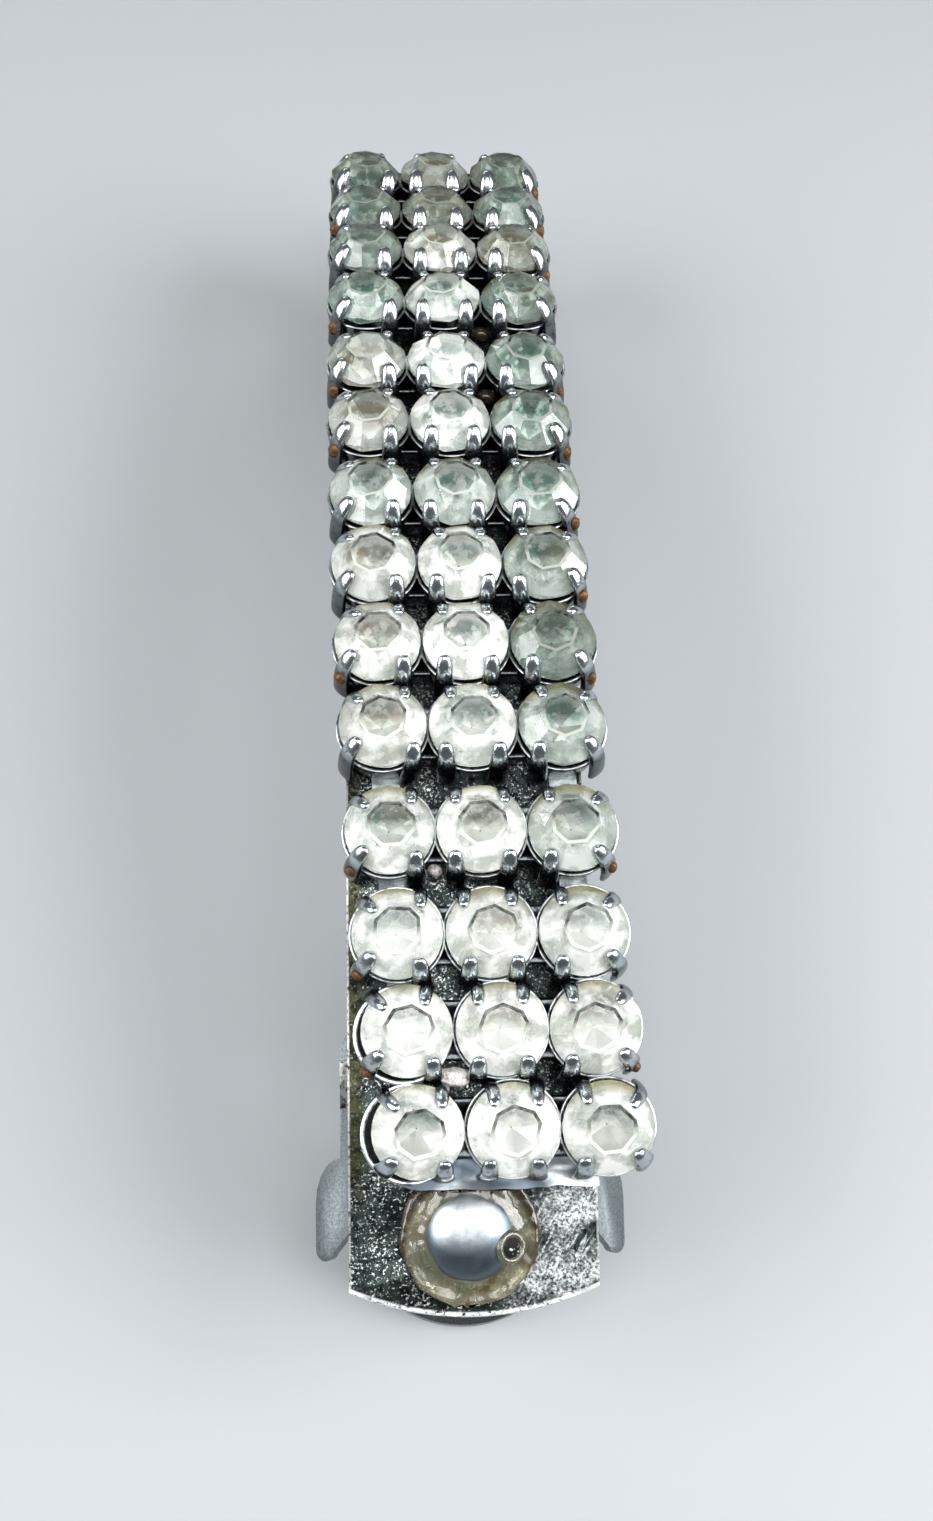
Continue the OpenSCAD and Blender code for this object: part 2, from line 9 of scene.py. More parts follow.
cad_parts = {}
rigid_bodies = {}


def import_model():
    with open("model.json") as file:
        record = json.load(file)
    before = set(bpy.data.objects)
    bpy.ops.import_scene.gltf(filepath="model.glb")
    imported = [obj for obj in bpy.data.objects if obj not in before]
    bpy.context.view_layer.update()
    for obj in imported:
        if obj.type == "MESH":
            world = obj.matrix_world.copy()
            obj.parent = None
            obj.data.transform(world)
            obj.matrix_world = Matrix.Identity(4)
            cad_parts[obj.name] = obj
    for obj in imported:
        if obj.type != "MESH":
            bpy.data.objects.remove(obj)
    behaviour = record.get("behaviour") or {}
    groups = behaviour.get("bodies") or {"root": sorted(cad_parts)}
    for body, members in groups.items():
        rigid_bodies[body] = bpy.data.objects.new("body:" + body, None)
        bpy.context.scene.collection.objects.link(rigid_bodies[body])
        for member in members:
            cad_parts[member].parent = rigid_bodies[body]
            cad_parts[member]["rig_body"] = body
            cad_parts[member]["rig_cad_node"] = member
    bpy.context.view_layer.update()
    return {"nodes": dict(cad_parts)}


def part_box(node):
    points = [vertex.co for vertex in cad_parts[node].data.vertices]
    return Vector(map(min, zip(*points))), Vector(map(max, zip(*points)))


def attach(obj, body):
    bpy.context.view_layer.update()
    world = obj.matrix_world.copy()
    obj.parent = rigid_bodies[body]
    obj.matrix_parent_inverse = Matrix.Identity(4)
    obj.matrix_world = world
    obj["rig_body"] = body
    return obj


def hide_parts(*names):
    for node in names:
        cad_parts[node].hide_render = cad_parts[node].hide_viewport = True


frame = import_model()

# Looks of a rhinestone hair clip. Metres: +Y runs from the catch to the hinge, +Z up through the stones.
mm = 0.001
chance = random.Random(14)

# the arch that everything lies on: radius and length of the plate's top, and the solder under what sits on it
arch = {"radius": 90 * mm, "length": 70.2 * mm, "solder": 0.02 * mm}
archX = sum(corner.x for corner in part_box("hinge_pin")) / 2
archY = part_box("back_plate")[1].y - arch["radius"] * math.sin(arch["length"] / 2 / arch["radius"])
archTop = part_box("back_plate")[1].z
rowCount = sum(name.startswith("stones_row_") for name in frame["nodes"])


def onArch(angle, x=archX):
    # a place on the plate's top: its Z is square to the plate, its Y runs along it
    middle = Matrix.Translation((x, archY, archTop - arch["radius"]))
    return middle @ Matrix.Rotation(-angle, 4, "X") @ Matrix.Translation((0, 0, arch["radius"]))


def archAngle(y, height):
    return math.asin((y - archY) / (arch["radius"] + height))


# ---- small helpers ----

def clearSelection():
    bpy.ops.object.select_all(action="DESELECT")


def makeActive(thing):
    clearSelection()
    thing.select_set(True)
    bpy.context.view_layer.objects.active = thing


def newPiece(name):
    # takes the primitive that was just added
    piece = bpy.context.object
    piece.name = name
    piece.data.name = name
    return piece


def editPiece(piece):
    makeActive(piece)
    bpy.ops.object.mode_set(mode="EDIT")
    bpy.ops.mesh.select_mode(type="FACE")


def leaveEdit():
    bpy.ops.object.mode_set(mode="OBJECT")


def applyPlace(piece):
    piece.data.transform(piece.matrix_basis)
    piece.matrix_basis = Matrix.Identity(4)


def pickFaces(piece, test):
    # selects, in edit mode, the faces whose middle and normal pass the test
    bm = bmesh.from_edit_mesh(piece.data)
    for face in bm.faces:
        face.select_set(test(face.calc_center_median(), face.normal))
    bm.select_flush_mode()
    bmesh.update_edit_mesh(piece.data)


def applyModifier(piece, kind, **settings):
    makeActive(piece)
    modifier = piece.modifiers.new(kind.title(), kind)
    for name, value in settings.items():
        setattr(modifier, name, value)
    bpy.ops.object.modifier_apply(modifier=modifier.name)


def wrinkle(piece, size, depth, direction="NORMAL"):
    # clouds of that size push the surface by up to half the depth either way
    clouds = bpy.data.textures.new("clouds", "CLOUDS")
    clouds.noise_scale = size
    applyModifier(piece, "DISPLACE", texture=clouds, texture_coords="LOCAL", direction=direction,
                  strength=depth, mid_level=0.5)


def smoothPiece(piece, degrees):
    makeActive(piece)
    bpy.ops.object.shade_smooth_by_angle(angle=math.radians(degrees))


def copyPiece(piece, place):
    twin = piece.copy()
    twin.data = piece.data.copy()
    bpy.context.scene.collection.objects.link(twin)
    twin.data.transform(place)
    return twin


def joinPieces(name, pieces):
    clearSelection()
    for piece in pieces:
        piece.select_set(True)
    bpy.context.view_layer.objects.active = pieces[0]
    bpy.ops.object.join()
    return newPiece(name)


def dropPiece(piece):
    bpy.data.objects.remove(piece, do_unlink=True)


# ---- materials ----

def linearColour(hexColour):
    # sRGB hex to the linear values that shaders use
    parts = [int(hexColour[k:k + 2], 16) / 255 for k in (1, 3, 5)]
    return [p / 12.92 if p <= 0.04045 else ((p + 0.055) / 1.055) ** 2.4 for p in parts] + [1]


def setInputs(node, inputs):
    # each value is a number, a vector, a hex colour or another node's output
    for key, value in inputs.items():
        if isinstance(value, bpy.types.NodeSocket):
            node.id_data.links.new(value, node.inputs[key])
        else:
            node.inputs[key].default_value = linearColour(value) if isinstance(value, str) else value


def addNode(tree, kind, inputs, output=0, **settings):
    # inputs are by name or number, or a row for the first sockets; hands back one output
    node = tree.nodes.new("ShaderNode" + kind)
    for name, value in settings.items():
        setattr(node, name, value)
    setInputs(node, inputs if isinstance(inputs, dict) else dict(enumerate(inputs)))
    return node.outputs[output]


def newMaterial(name, **values):
    # hands back the material, addNode for its tree, its shader, and Object coordinates in millimetres
    material = bpy.data.materials.new(name)
    material.use_nodes = True
    add = partial(addNode, material.node_tree)
    shader = material.node_tree.nodes["Principled BSDF"]
    setInputs(shader, {socket.replace("_", " "): value for socket, value in values.items()})
    place = add("Mapping", {"Vector": add("TexCoord", {}, "Object"), "Scale": (1 / mm, 1 / mm, 1 / mm)})
    return material, add, shader, place


def distanceFrom(add, place, middle, scale=(1, 1, 1)):
    # mm from a point, or from an axis where the scale is 0
    moved = add("Mapping", {"Vector": place, "Location": [-part for part in middle], "Scale": scale})
    return add("VectorMath", (moved,), "Value", operation="LENGTH")


# mm: the plate's outline, and how wide the painted highlight line along its edge is
plateEdge = {"halfWidth": 5.6, "bulge": 1.1, "line": 0.08}
# mm, and degrees for the slant. Real pits are finer: these are as coarse as they need to be to show. Each pair
# runs from where haze or the olive painted shade of the left edge starts to where it is full, across the plate
# or back from its catch end
plateWearAndPaintedLight = {"pit": 0.13, "pitDepth": 0.03, "haze": 1.7, "dirt": 0.5, "gap": 0.3, "scratch": 1.1,
             "stretch": (0.16, 1.7, 1.7), "slant": -32, "hazeAcross": (0.4, 2.2), "hazeBack": (8, 6),
             "greenAcross": (-5.15, -5.5), "greenBack": (4, 6)}


def paintedEdgeHighlight(add, side, along, catchEnd):
    # a share of 1 along the plate's sides and its bowed catch end: the painted highlight line along its edges
    s = plateEdge
    across = add("Math", (side, archX / mm), operation="SUBTRACT")
    outwards = add("Math", (across, 0), operation="ABSOLUTE")
    squared = add("Math", (outwards, 2), operation="POWER")
    bow = add("Math", (squared, s["bulge"] / s["halfWidth"] ** 2), operation="MULTIPLY")
    fromEnd = add("Math", (along, catchEnd), operation="SUBTRACT")
    fromFront = add("Math", (fromEnd, bow), operation="SUBTRACT")
    front = add("MapRange", (fromFront, 2.2 * s["line"], s["line"]))
    inner, outer = s["halfWidth"] - 1.5 * s["line"], s["halfWidth"] - 0.7 * s["line"]
    sides = add("MapRange", (outwards, inner, outer, 0, 0.3))
    return add("Math", (front, sides), operation="MAXIMUM")


def pittedPlate():
    # bright nickel-chrome over steel, etched by age and scratched white in a haze on the right of the catch
    # end. Its pitted face is painted near black as shade under the stones and dark reflection, with white
    # specks painted on as glints off the pits, an olive painted shade along the left edge, and a painted
    # highlight line along its edges
    material, add, shader, place = newMaterial("pittedChromePlate")
    s = plateWearAndPaintedLight
    side, along = add("SeparateXYZ", (place,), "X"), add("SeparateXYZ", (place,), "Y")
    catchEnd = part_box("back_plate")[0].y / mm
    specks = add("TexNoise", {"Vector": place, "Scale": 1 / s["pit"], "Detail": 3, "Roughness": 0.75})
    patches = add("TexNoise", {"Vector": place, "Scale": 1 / s["haze"], "Detail": 3, "Roughness": 0.55})
    dirt = add("TexNoise", {"Vector": place, "Scale": 1 / s["dirt"], "Detail": 4, "Roughness": 0.7})
    gaps = add("TexNoise", {"Vector": place, "Scale": 1 / s["gap"], "Detail": 4, "Roughness": 0.7})
    slanted = add("Mapping", {"Vector": place, "Rotation": (0, 0, math.radians(s["slant"])),
                              "Scale": s["stretch"]}, vector_type="TEXTURE")
    scored = add("TexNoise", {"Vector": slanted, "Scale": 1 / s["scratch"], "Detail": 4, "Roughness": 0.6})
    scratches = add("MapRange", (scored, 0.54, 0.62))
    paintedShadeMix = add("MapRange", (dirt, 0.4, 0.6))
    patchy = add("Math", (patches, 0.25), operation="MULTIPLY")
    # painted glints: white specks painted on the pits
    paintedGlints = add("MapRange", (add("Math", (specks, patchy), operation="ADD"), 0.71, 0.77))

    # the haze: patches and scratches near the catch, broken by the pits
    rightSide = add("MapRange", (side, *s["hazeAcross"]))
    nearCatch = add("MapRange", (along, *(catchEnd + back for back in s["hazeBack"])))
    corner = add("Math", (rightSide, nearCatch), operation="MULTIPLY", use_clamp=True)
    scraped = add("Math", (scratches, 0.6), operation="MULTIPLY")
    cloudy = add("Math", (add("MapRange", (patches, 0.38, 0.66)), scraped), operation="ADD", use_clamp=True)
    pitted = add("MapRange", (specks, 0.38, 0.56))
    broken = add("Math", (cloudy, pitted), operation="MULTIPLY")
    veil = add("Math", (corner, broken), operation="MULTIPLY", use_clamp=True)

    # colour, one layer over another: pitted face painted near black as shade with painted glints, olive
    # painted shade on the left edge, haze, painted edge highlight
    # the face is painted near black, #14191B to #39423F, as shade under the stones and dark reflection,
    # mottled by the noise
    dark = add("Mix", {0: paintedShadeMix, 6: "#14191B", 7: "#39423F"}, 2, data_type="RGBA")
    worn = add("Mix", {0: paintedGlints, 6: dark, 7: "#E9EDEB"}, 2, data_type="RGBA")
    # olive painted shade along the left edge, back from the catch, with no painted glints
    leftSide = add("MapRange", (side, *s["greenAcross"]))
    furtherBack = add("MapRange", (along, *(catchEnd + back for back in s["greenBack"])))
    edge = add("Math", (leftSide, furtherBack), operation="MULTIPLY")
    leftEdgeShade = add("Mix", {0: paintedShadeMix, 6: "#15160F", 7: "#36371F"}, 2, data_type="RGBA")
    green = add("Math", (edge, 0.85), operation="MULTIPLY")
    leftEdgeShaded = add("Mix", {0: green, 6: worn, 7: leftEdgeShade}, 2, data_type="RGBA")
    veiled = add("Mix", {0: veil, 6: leftEdgeShaded, 7: "#DDE3E2"}, 2, data_type="RGBA")
    line = paintedEdgeHighlight(add, side, along, catchEnd)
    edgeHighlight = add("Math", (line, add("MapRange", (gaps, 0.62, 0.5))), operation="MULTIPLY")

    # the haze scatters light, and the painted glints and painted edge highlight are made pale, so all of them
    # are less metallic than the face
    hazy = add("Math", (veil, 0.6), operation="MULTIPLY")
    bright = add("Math", (paintedGlints, edgeHighlight), operation="MAXIMUM")
    brightShare = add("Math", (bright, 0.6), operation="MULTIPLY")
    pale = add("Math", (hazy, brightShare), operation="ADD", use_clamp=True)
    cut = add("Math", (scratches, 0.2), operation="MULTIPLY")
    height = add("Math", (specks, cut), operation="ADD")
    setInputs(shader, {
        "Base Color": add("Mix", {0: edgeHighlight, 6: veiled, 7: "#F1F4F3"}, 2, data_type="RGBA"),
        "Roughness": add("MapRange", (paintedGlints, 0, 1, 0.42, 0.25)),
        "Metallic": add("MapRange", (pale, 0, 1, 1.0, 0.3)),
        "Normal": add("Bump", {"Height": height, "Distance": s["pitDepth"] * mm, "Strength": 0.5})})
    return material


def edgeHighlightPaint():
    # the plate's bevelled corners: a painted highlight, a bright broken line, nearly white and little metallic
    material, add, shader, place = newMaterial("chromeEdgePaintedHighlight", Metallic=0.2)
    cloud = add("TexNoise", {"Vector": place, "Scale": 1 / plateWearAndPaintedLight["gap"], "Detail": 4, "Roughness": 0.7})
    gaps = add("MapRange", (cloud, 0.54, 0.64))
    setInputs(shader, {"Base Color": add("Mix", {0: gaps, 6: "#F1F4F3", 7: "#6F7776"}, 2, data_type="RGBA"),
                       "Roughness": add("MapRange", (gaps, 0, 1, 0.3, 0.45))})
    return material


# mm: the press's ripples, the film of dirt, and two pairs of heights over the plate between which painted
# shade sets in, down the settings and then at their foot
settingWearAndShade = {"ripple": 0.45, "rippleDepth": 0.05, "film": 0.22, "shade": (2.4, 1.95), "foot": (1.45, 0.9)}


def brightSetting():
    # stamped brass, rhodium plated: dark mirror with sharp lights, rippled by the press, with painted shade
    # that darkens it lower down and most at its foot
    material, add, shader, place = newMaterial("brightPlatedSetting", Metallic=1.0)
    s = settingWearAndShade
    ripple = add("TexNoise", {"Vector": place, "Scale": 1 / s["ripple"], "Detail": 3, "Roughness": 0.55})
    film = add("TexNoise", {"Vector": place, "Scale": 1 / s["film"], "Detail": 4, "Roughness": 0.65})
    darkerShare = add("MapRange", (film, 0.52, 0.7))
    archMiddle = (0, archY / mm, (archTop - arch["radius"]) / mm)
    fromMiddle = distanceFrom(add, place, archMiddle, (0, 1, 1))
    height = add("Math", (fromMiddle, arch["radius"] / mm), operation="SUBTRACT")
    # painted shade: darker lower down the settings, and darker still at their foot
    shaded = add("MapRange", (height, *s["shade"], 0, 0.74))
    paintedShadeMix = add("Math", (shaded, add("MapRange", (height, *s["foot"], 0, 0.12))), operation="ADD")
    metalColour = add("Mix", {0: darkerShare, 6: "#B6BDC0", 7: "#565D60"}, 2, data_type="RGBA")
    setInputs(shader, {
        "Base Color": add("Mix", {0: paintedShadeMix, 6: metalColour, 7: "#1A2123"}, 2, data_type="RGBA"),
        "Roughness": add("MapRange", (darkerShare, 0, 1, 0.2, 0.36)),
        "Normal": add("Bump", {"Height": ripple, "Distance": s["rippleDepth"] * mm, "Strength": 0.6})})
    return material


def paleRim():
    # the cups' rims: the plated metal a little paler, with none of the painted shade that darkens the settings
    material, add, shader, place = newMaterial("paleRimUnshaded", Metallic=1.0, Roughness=0.28)
    filmSize = 0.4     # mm
    cloud = add("TexNoise", {"Vector": place, "Scale": 1 / filmSize, "Detail": 3, "Roughness": 0.55})
    film = add("MapRange", (cloud, 0.5, 0.66))
    colour = add("Mix", {0: film, 6: "#D3D8D9", 7: "#737B7D"}, 2, data_type="RGBA")
    setInputs(shader, {"Base Color": colour})
    return material


def matteStrap():
    # rolled silvered strip, gone matt and scratched
    material, add, shader, place = newMaterial("matteSilveredStrap", Metallic=0.8)
    scuffSize, scuffDepth = 0.5, 0.04     # mm
    cloud = add("TexNoise", {"Vector": place, "Scale": 1 / scuffSize, "Detail": 5, "Roughness": 0.7})
    scuffed = add("MapRange", (cloud, 0.42, 0.62))
    setInputs(shader, {
        "Base Color": add("Mix", {0: scuffed, 6: "#B4BCBC", 7: "#6A7374"}, 2, data_type="RGBA"),
        "Roughness": add("MapRange", (cloud, 0.3, 0.7, 0.35, 0.55)),
        "Normal": add("Bump", {"Height": cloud, "Distance": scuffDepth * mm, "Strength": 0.8})})
    return material


# mm: the tumbling's marks, where the middle of the dome's highlight lies off its top, how far from it the
# painted shade down the skirt starts and is full, and how far from it all of that ends, because the hinge pin
# has this finish too
rivetWearAndShade = {"cloud": 0.8, "grain": 0.09, "grainDepth": 0.012, "crown": (-0.3, 0.55), "skirt": (0.95, 1.9),
             "dome": (4, 3.8)}


def satinRivet():
    # tumbled nickel: a soft gloss, with painted shade that leaves it brightest round the dome's highlight and
    # grey towards its skirt
    material, add, shader, place = newMaterial("satinNickelRivet", Metallic=1.0)
    s = rivetWearAndShade
    cloud = add("TexNoise", {"Vector": place, "Scale": 1 / s["cloud"], "Detail": 4, "Roughness": 0.55})
    grain = add("TexNoise", {"Vector": place, "Scale": 1 / s["grain"], "Detail": 4, "Roughness": 0.55})
    low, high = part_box("catch_rivet")
    top = ((low.x + high.x) / 2 / mm, (low.y + high.y) / 2 / mm, high.z / mm)
    # painted shade: the dome darkens with distance from a point just off its top, where its highlight falls
    reach = distanceFrom(add, place, (top[0] + s["crown"][0], top[1] + s["crown"][1], top[2]))
    cloudy = add("Math", (cloud, 0.25), operation="MULTIPLY")
    shadeAndCloud = add("Math", (add("MapRange", (reach, *s["skirt"])), cloudy), operation="ADD", use_clamp=True)
    darkerShare = add("Math", (shadeAndCloud, add("MapRange", (reach, *s["dome"]))), operation="MULTIPLY")
    tumbled = add("MapRange", (cloud, 0.4, 0.7))
    satin = add("Mix", {0: tumbled, 6: "#D6DCDE", 7: "#929CA1"}, 2, data_type="RGBA")
    setInputs(shader, {
        "Base Color": add("Mix", {0: darkerShare, 6: satin, 7: "#66717A"}, 2, data_type="RGBA"),
        "Roughness": add("MapRange", (cloud, 0.3, 0.7, 0.34, 0.46)),
        "Normal": add("Bump", {"Height": grain, "Distance": s["grainDepth"] * mm, "Strength": 0.6})})
    return material


def springSteel():
    # cold-rolled spring steel with thin nickel: even, faintly grained
    material, add, shader, place = newMaterial("nickelSpringSteel", Metallic=1.0)
    grainSize, grainDepth = 0.12, 0.015     # mm
    grain = add("TexNoise", {"Vector": place, "Scale": 1 / grainSize, "Detail": 5, "Roughness": 0.7})
    rolled = add("MapRange", (grain, 0.4, 0.62))
    setInputs(shader, {
        "Base Color": add("Mix", {0: rolled, 6: "#7E8487", 7: "#5F6568"}, 2, data_type="RGBA"),
        "Roughness": add("MapRange", (grain, 0.35, 0.65, 0.28, 0.44)),
        "Normal": add("Bump", {"Height": grain, "Distance": grainDepth * mm, "Strength": 0.7})})
    return material


# mm: clouds, patches of tint and ripples in the cement, and how far from its middle its brown rim sets in
cementWear = {"cloud": 0.8, "tint": 1.9, "ripple": 0.9, "rippleDepth": 0.05, "rim": (2.72, 3.0)}


def oldAdhesive():
    # clear cement gone amber: glossy skin, see-through olive body, browner where it thins out at its rim
    material, add, shader, place = newMaterial("amberOldCement", Metallic=0.0, IOR=1.5, Coat_Weight=0.4,
                                               Coat_Roughness=0.08, Transmission_Weight=0.82)
    s = cementWear
    low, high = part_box("glue_ring")
    reach = distanceFrom(add, place, [(a + b) / 2 / mm for a, b in zip(low, high)])
    clouds = add("TexNoise", {"Vector": place, "Scale": 1 / s["cloud"], "Detail": 4, "Roughness": 0.55})
    patches = add("TexNoise", {"Vector": place, "Scale": 1 / s["tint"], "Detail": 2, "Roughness": 0.55})
    ripples = add("TexNoise", {"Vector": place, "Scale": 1 / s["ripple"], "Detail": 2, "Roughness": 0.55})
    cloud = add("MapRange", (clouds, 0.36, 0.64))
    tint = add("Math", (add("MapRange", (patches, 0.42, 0.6)), 0.8), operation="MULTIPLY")
    amber = add("Mix", {0: cloud, 6: "#CFCBAE", 7: "#7E7044"}, 2, data_type="RGBA")
    body = add("Mix", {0: tint, 6: amber, 7: "#8E957C"}, 2, data_type="RGBA")
    rim = add("Math", (add("MapRange", (reach, *s["rim"])), 0.9), operation="MULTIPLY")
    setInputs(shader, {
        "Base Color": add("Mix", {0: rim, 6: body, 7: "#4F3915"}, 2, data_type="RGBA"),
        "Roughness": add("MapRange", (cloud, 0, 1, 0.14, 0.3)),
        "Normal": add("Bump", {"Height": ripples, "Distance": s["rippleDepth"] * mm, "Strength": 0.25})})
    return material


def paintedShadePit():
    # the bubble's floor, painted near black as the shade inside the hole, with a few painted glints as bright
    # specks
    material, add, shader, place = newMaterial("bubbleFloorPaintedShade", Metallic=0.0, Roughness=0.6,
                                               Specular_IOR_Level=0.15)
    speckSize = 0.2     # mm
    cloud = add("TexNoise", {"Vector": place, "Scale": 1 / speckSize, "Detail": 2, "Roughness": 0.6})
    specks = add("MapRange", (cloud, 0.63, 0.68))
    colour = add("Mix", {0: specks, 6: "#050707", 7: "#C9CFCB"}, 2, data_type="RGBA")
    setInputs(shader, {"Base Color": colour})
    return material


def paintedWhiteSolder():
    # solder left between the cups, painted chalky white as its highlight, greyed and pink in places; the chip
    # has it too
    material, add, shader, place = newMaterial("solderPaintedWhite", Metallic=0.2)
    dirtSize, lumpDepth = 0.25, 0.04     # mm
    dirt = add("TexNoise", {"Vector": place, "Scale": 1 / dirtSize, "Detail": 4, "Roughness": 0.7})
    greyed = add("MapRange", (dirt, 0.48, 0.66))
    setInputs(shader, {
        "Base Color": add("Mix", {0: greyed, 6: "#F2EEEA", 7: "#8A7C76"}, 2, data_type="RGBA"),
        "Roughness": add("MapRange", (dirt, 0.3, 0.7, 0.25, 0.5)),
        "Normal": add("Bump", {"Height": dirt, "Distance": lumpDepth * mm, "Strength": 1.0})})
    return material


def rustBloom():
    # bare steel and brass gone orange-brown where the plating is through
    material, add, shader, place = newMaterial("rustBloom", Metallic=0.3)
    grainSize, grainDepth = 0.15, 0.03     # mm
    grain = add("TexNoise", {"Vector": place, "Scale": 1 / grainSize, "Detail": 4, "Roughness": 0.7})
    deep = add("MapRange", (grain, 0.4, 0.6))
    setInputs(shader, {
        "Base Color": add("Mix", {0: deep, 6: "#6E4719", 7: "#35220E"}, 2, data_type="RGBA"),
        "Roughness": add("MapRange", (grain, 0.3, 0.7, 0.35, 0.7)),
        "Normal": add("Bump", {"Height": grain, "Distance": grainDepth * mm, "Strength": 1.0})})
    return material


# mm: scuffs and milky veils in the glass, chips along the table's edge, patches of hue and spots in the foil
stoneWear = {"scuff": 0.35, "veil": 1.1, "chip": 0.5, "hue": 9, "spot": 0.55, "spotDepth": 0.03}


def readStone(add):
    # a stone's own map: distance from its middle, place along the clip, and its tone, how dark it is painted,
    # partly as tarnished foil and partly as painted shade
    flat = add("UVMap", {}, "UV", uv_map="onStone")
    middle = add("VectorMath", (flat,), "Value", operation="LENGTH")
    along = add("SeparateXYZ", (flat,), "Y")
    tone = add("Attribute", {}, "Fac", attribute_name="tone")
    return middle, along, tone


def crownGlass():
    # lead crystal, aged: clear at the table, milky on the crown, tinted teal with the stone's tone, which is
    # partly painted shade, and an olive painted shade along the rim away from the catch
    material, add, shader, place = newMaterial("agedLeadCrystal", Metallic=0.0, IOR=1.56)
    middle, along, tone = readStone(add)
    s = stoneWear
    scuffs = add("TexNoise", {"Vector": place, "Scale": 1 / s["scuff"], "Detail": 5, "Roughness": 0.7})
    clouds = add("TexNoise", {"Vector": place, "Scale": 1 / s["veil"], "Detail": 4, "Roughness": 0.55})
    veil = add("MapRange", (clouds, 0.42, 0.62))
    # painted shade: olive along the rim away from the catch, wider in darker-toned stones
    outwards = add("Math", (middle, 0.6), operation="MULTIPLY")
    backwards = add("Math", (along, 0.5), operation="MULTIPLY")
    toRim = add("Math", (outwards, backwards), operation="ADD")
    darker = add("Math", (tone, 0.5), operation="MULTIPLY")
    nearRim = add("MapRange", (add("Math", (toRim, darker), operation="ADD"), 0.8, 1.1))
    rim = add("Math", (nearRim, 0.85), operation="MULTIPLY")
    faint = add("Math", (veil, 0.5), operation="MULTIPLY")
    milky = add("Mix", {0: faint, 6: "#FFFFFD", 7: "#B4C0B4"}, 2, data_type="RGBA")
    tint = add("Math", (tone, 0.75), operation="MULTIPLY")
    tinted = add("Mix", {0: tint, 6: milky, 7: "#5F8A7E"}, 2, data_type="RGBA")
    onCrown = add("MapRange", (middle, 0.47, 0.56, 0.2, 1.0))
    milk = add("Math", (onCrown, add("MapRange", (tone, 0, 0.8, 0.58, 0.1))), operation="MULTIPLY")
    cloudy = add("Math", (milk, add("MapRange", (veil, 0, 1, 1.0, 0.35))), operation="MULTIPLY")
    setInputs(shader, {
        "Base Color": add("Mix", {0: rim, 6: tinted, 7: "#857D46"}, 2, data_type="RGBA"),
        "Transmission Weight": add("MapRange", (cloudy, 0, 1, 0.96, 0.0)),
        "Roughness": add("MapRange", (add("MapRange", (scuffs, 0.5, 0.72)), 0, 1, 0.02, 0.16))})
    return material


def tableArris():
    # the ground edge round a table, worn: grey-green glass, with painted shade darkest away from the catch and
    # in dark-toned stones
    material, add, shader, place = newMaterial("wornTableArris", Metallic=0.0, IOR=1.56,
                                               Specular_IOR_Level=0.15, Transmission_Weight=0.1)
    middle, along, tone = readStone(add)
    s = stoneWear
    chips = add("TexNoise", {"Vector": place, "Scale": 1 / s["chip"], "Detail": 4, "Roughness": 0.7})
    broken = add("MapRange", (chips, 0.35, 0.6))
    faraway = add("MapRange", (along, -0.3, 0.15))
    paintedFarShade = add("Math", (faraway, add("MapRange", (broken, 0, 1, 0.7, 1.0))), operation="MULTIPLY")
    darkTone = add("Math", (tone, 0.9), operation="MULTIPLY")
    shade = add("Math", (paintedFarShade, darkTone), operation="MAXIMUM")
    setInputs(shader, {"Base Color": add("Mix", {0: shade, 6: "#C6CDC2", 7: "#0A110F"}, 2, data_type="RGBA"),
                       "Roughness": add("MapRange", (broken, 0, 1, 0.3, 0.5))})
    return material


def stoneFoil():
    # silver foil behind the glass: soft bright mirror, white at the point and the skirt, with a grey-green
    # painted shade in a ring between them, heaviest away from the catch and broken into spots; some stones far
    # darker than others, by their tone
    material, add, shader, place = newMaterial("silverFoilTarnishAndShade", Metallic=0.35)
    middle, along, tone = readStone(add)
    s = stoneWear
    hues = add("TexNoise", {"Vector": place, "Scale": 1 / s["hue"], "Detail": 1, "Roughness": 0.55})
    spots = add("TexNoise", {"Vector": place, "Scale": 1 / s["spot"], "Detail": 4, "Roughness": 0.6})
    pastPoint, beforeSkirt = add("MapRange", (middle, 0.14, 0.3)), add("MapRange", (middle, 0.7, 0.5))
    # painted shade: a grey-green ring between the point and the skirt, heaviest away from the catch
    ring = add("Math", (pastPoint, beforeSkirt), operation="MULTIPLY")
    leaning = add("Math", (ring, add("MapRange", (along, -0.12, 0.3, 0.05, 1.0))), operation="MULTIPLY")
    spotted = add("MapRange", (spots, 0.34, 0.5))
    paintedRingShade = add("Math", (leaning, spotted), operation="MULTIPLY", use_clamp=True)
    hue = add("MapRange", (hues, 0.5, 0.62))
    darkFoilHue = add("Mix", {0: hue, 6: "#2C6459", 7: "#6A5422"}, 2, data_type="RGBA")
    withRingShade = add("Mix", {0: paintedRingShade, 6: "#F6F8F3", 7: darkFoilHue}, 2, data_type="RGBA")
    # the stone's tone darkens the foil, partly as tarnish and partly as painted shade on the far rows
    patchy = add("MapRange", (spots, 0.36, 0.6, 0.45, 1.0))
    toneDarkening = add("Math", (tone, patchy), operation="MULTIPLY", use_clamp=True)
    setInputs(shader, {
        "Base Color": add("Mix", {0: toneDarkening, 6: withRingShade, 7: darkFoilHue}, 2, data_type="RGBA"),
        "Roughness": add("MapRange", (paintedRingShade, 0, 1, 0.22, 0.4)),
        "Normal": add("Bump", {"Height": spots, "Distance": s["spotDepth"] * mm, "Strength": 0.7})})
    return material


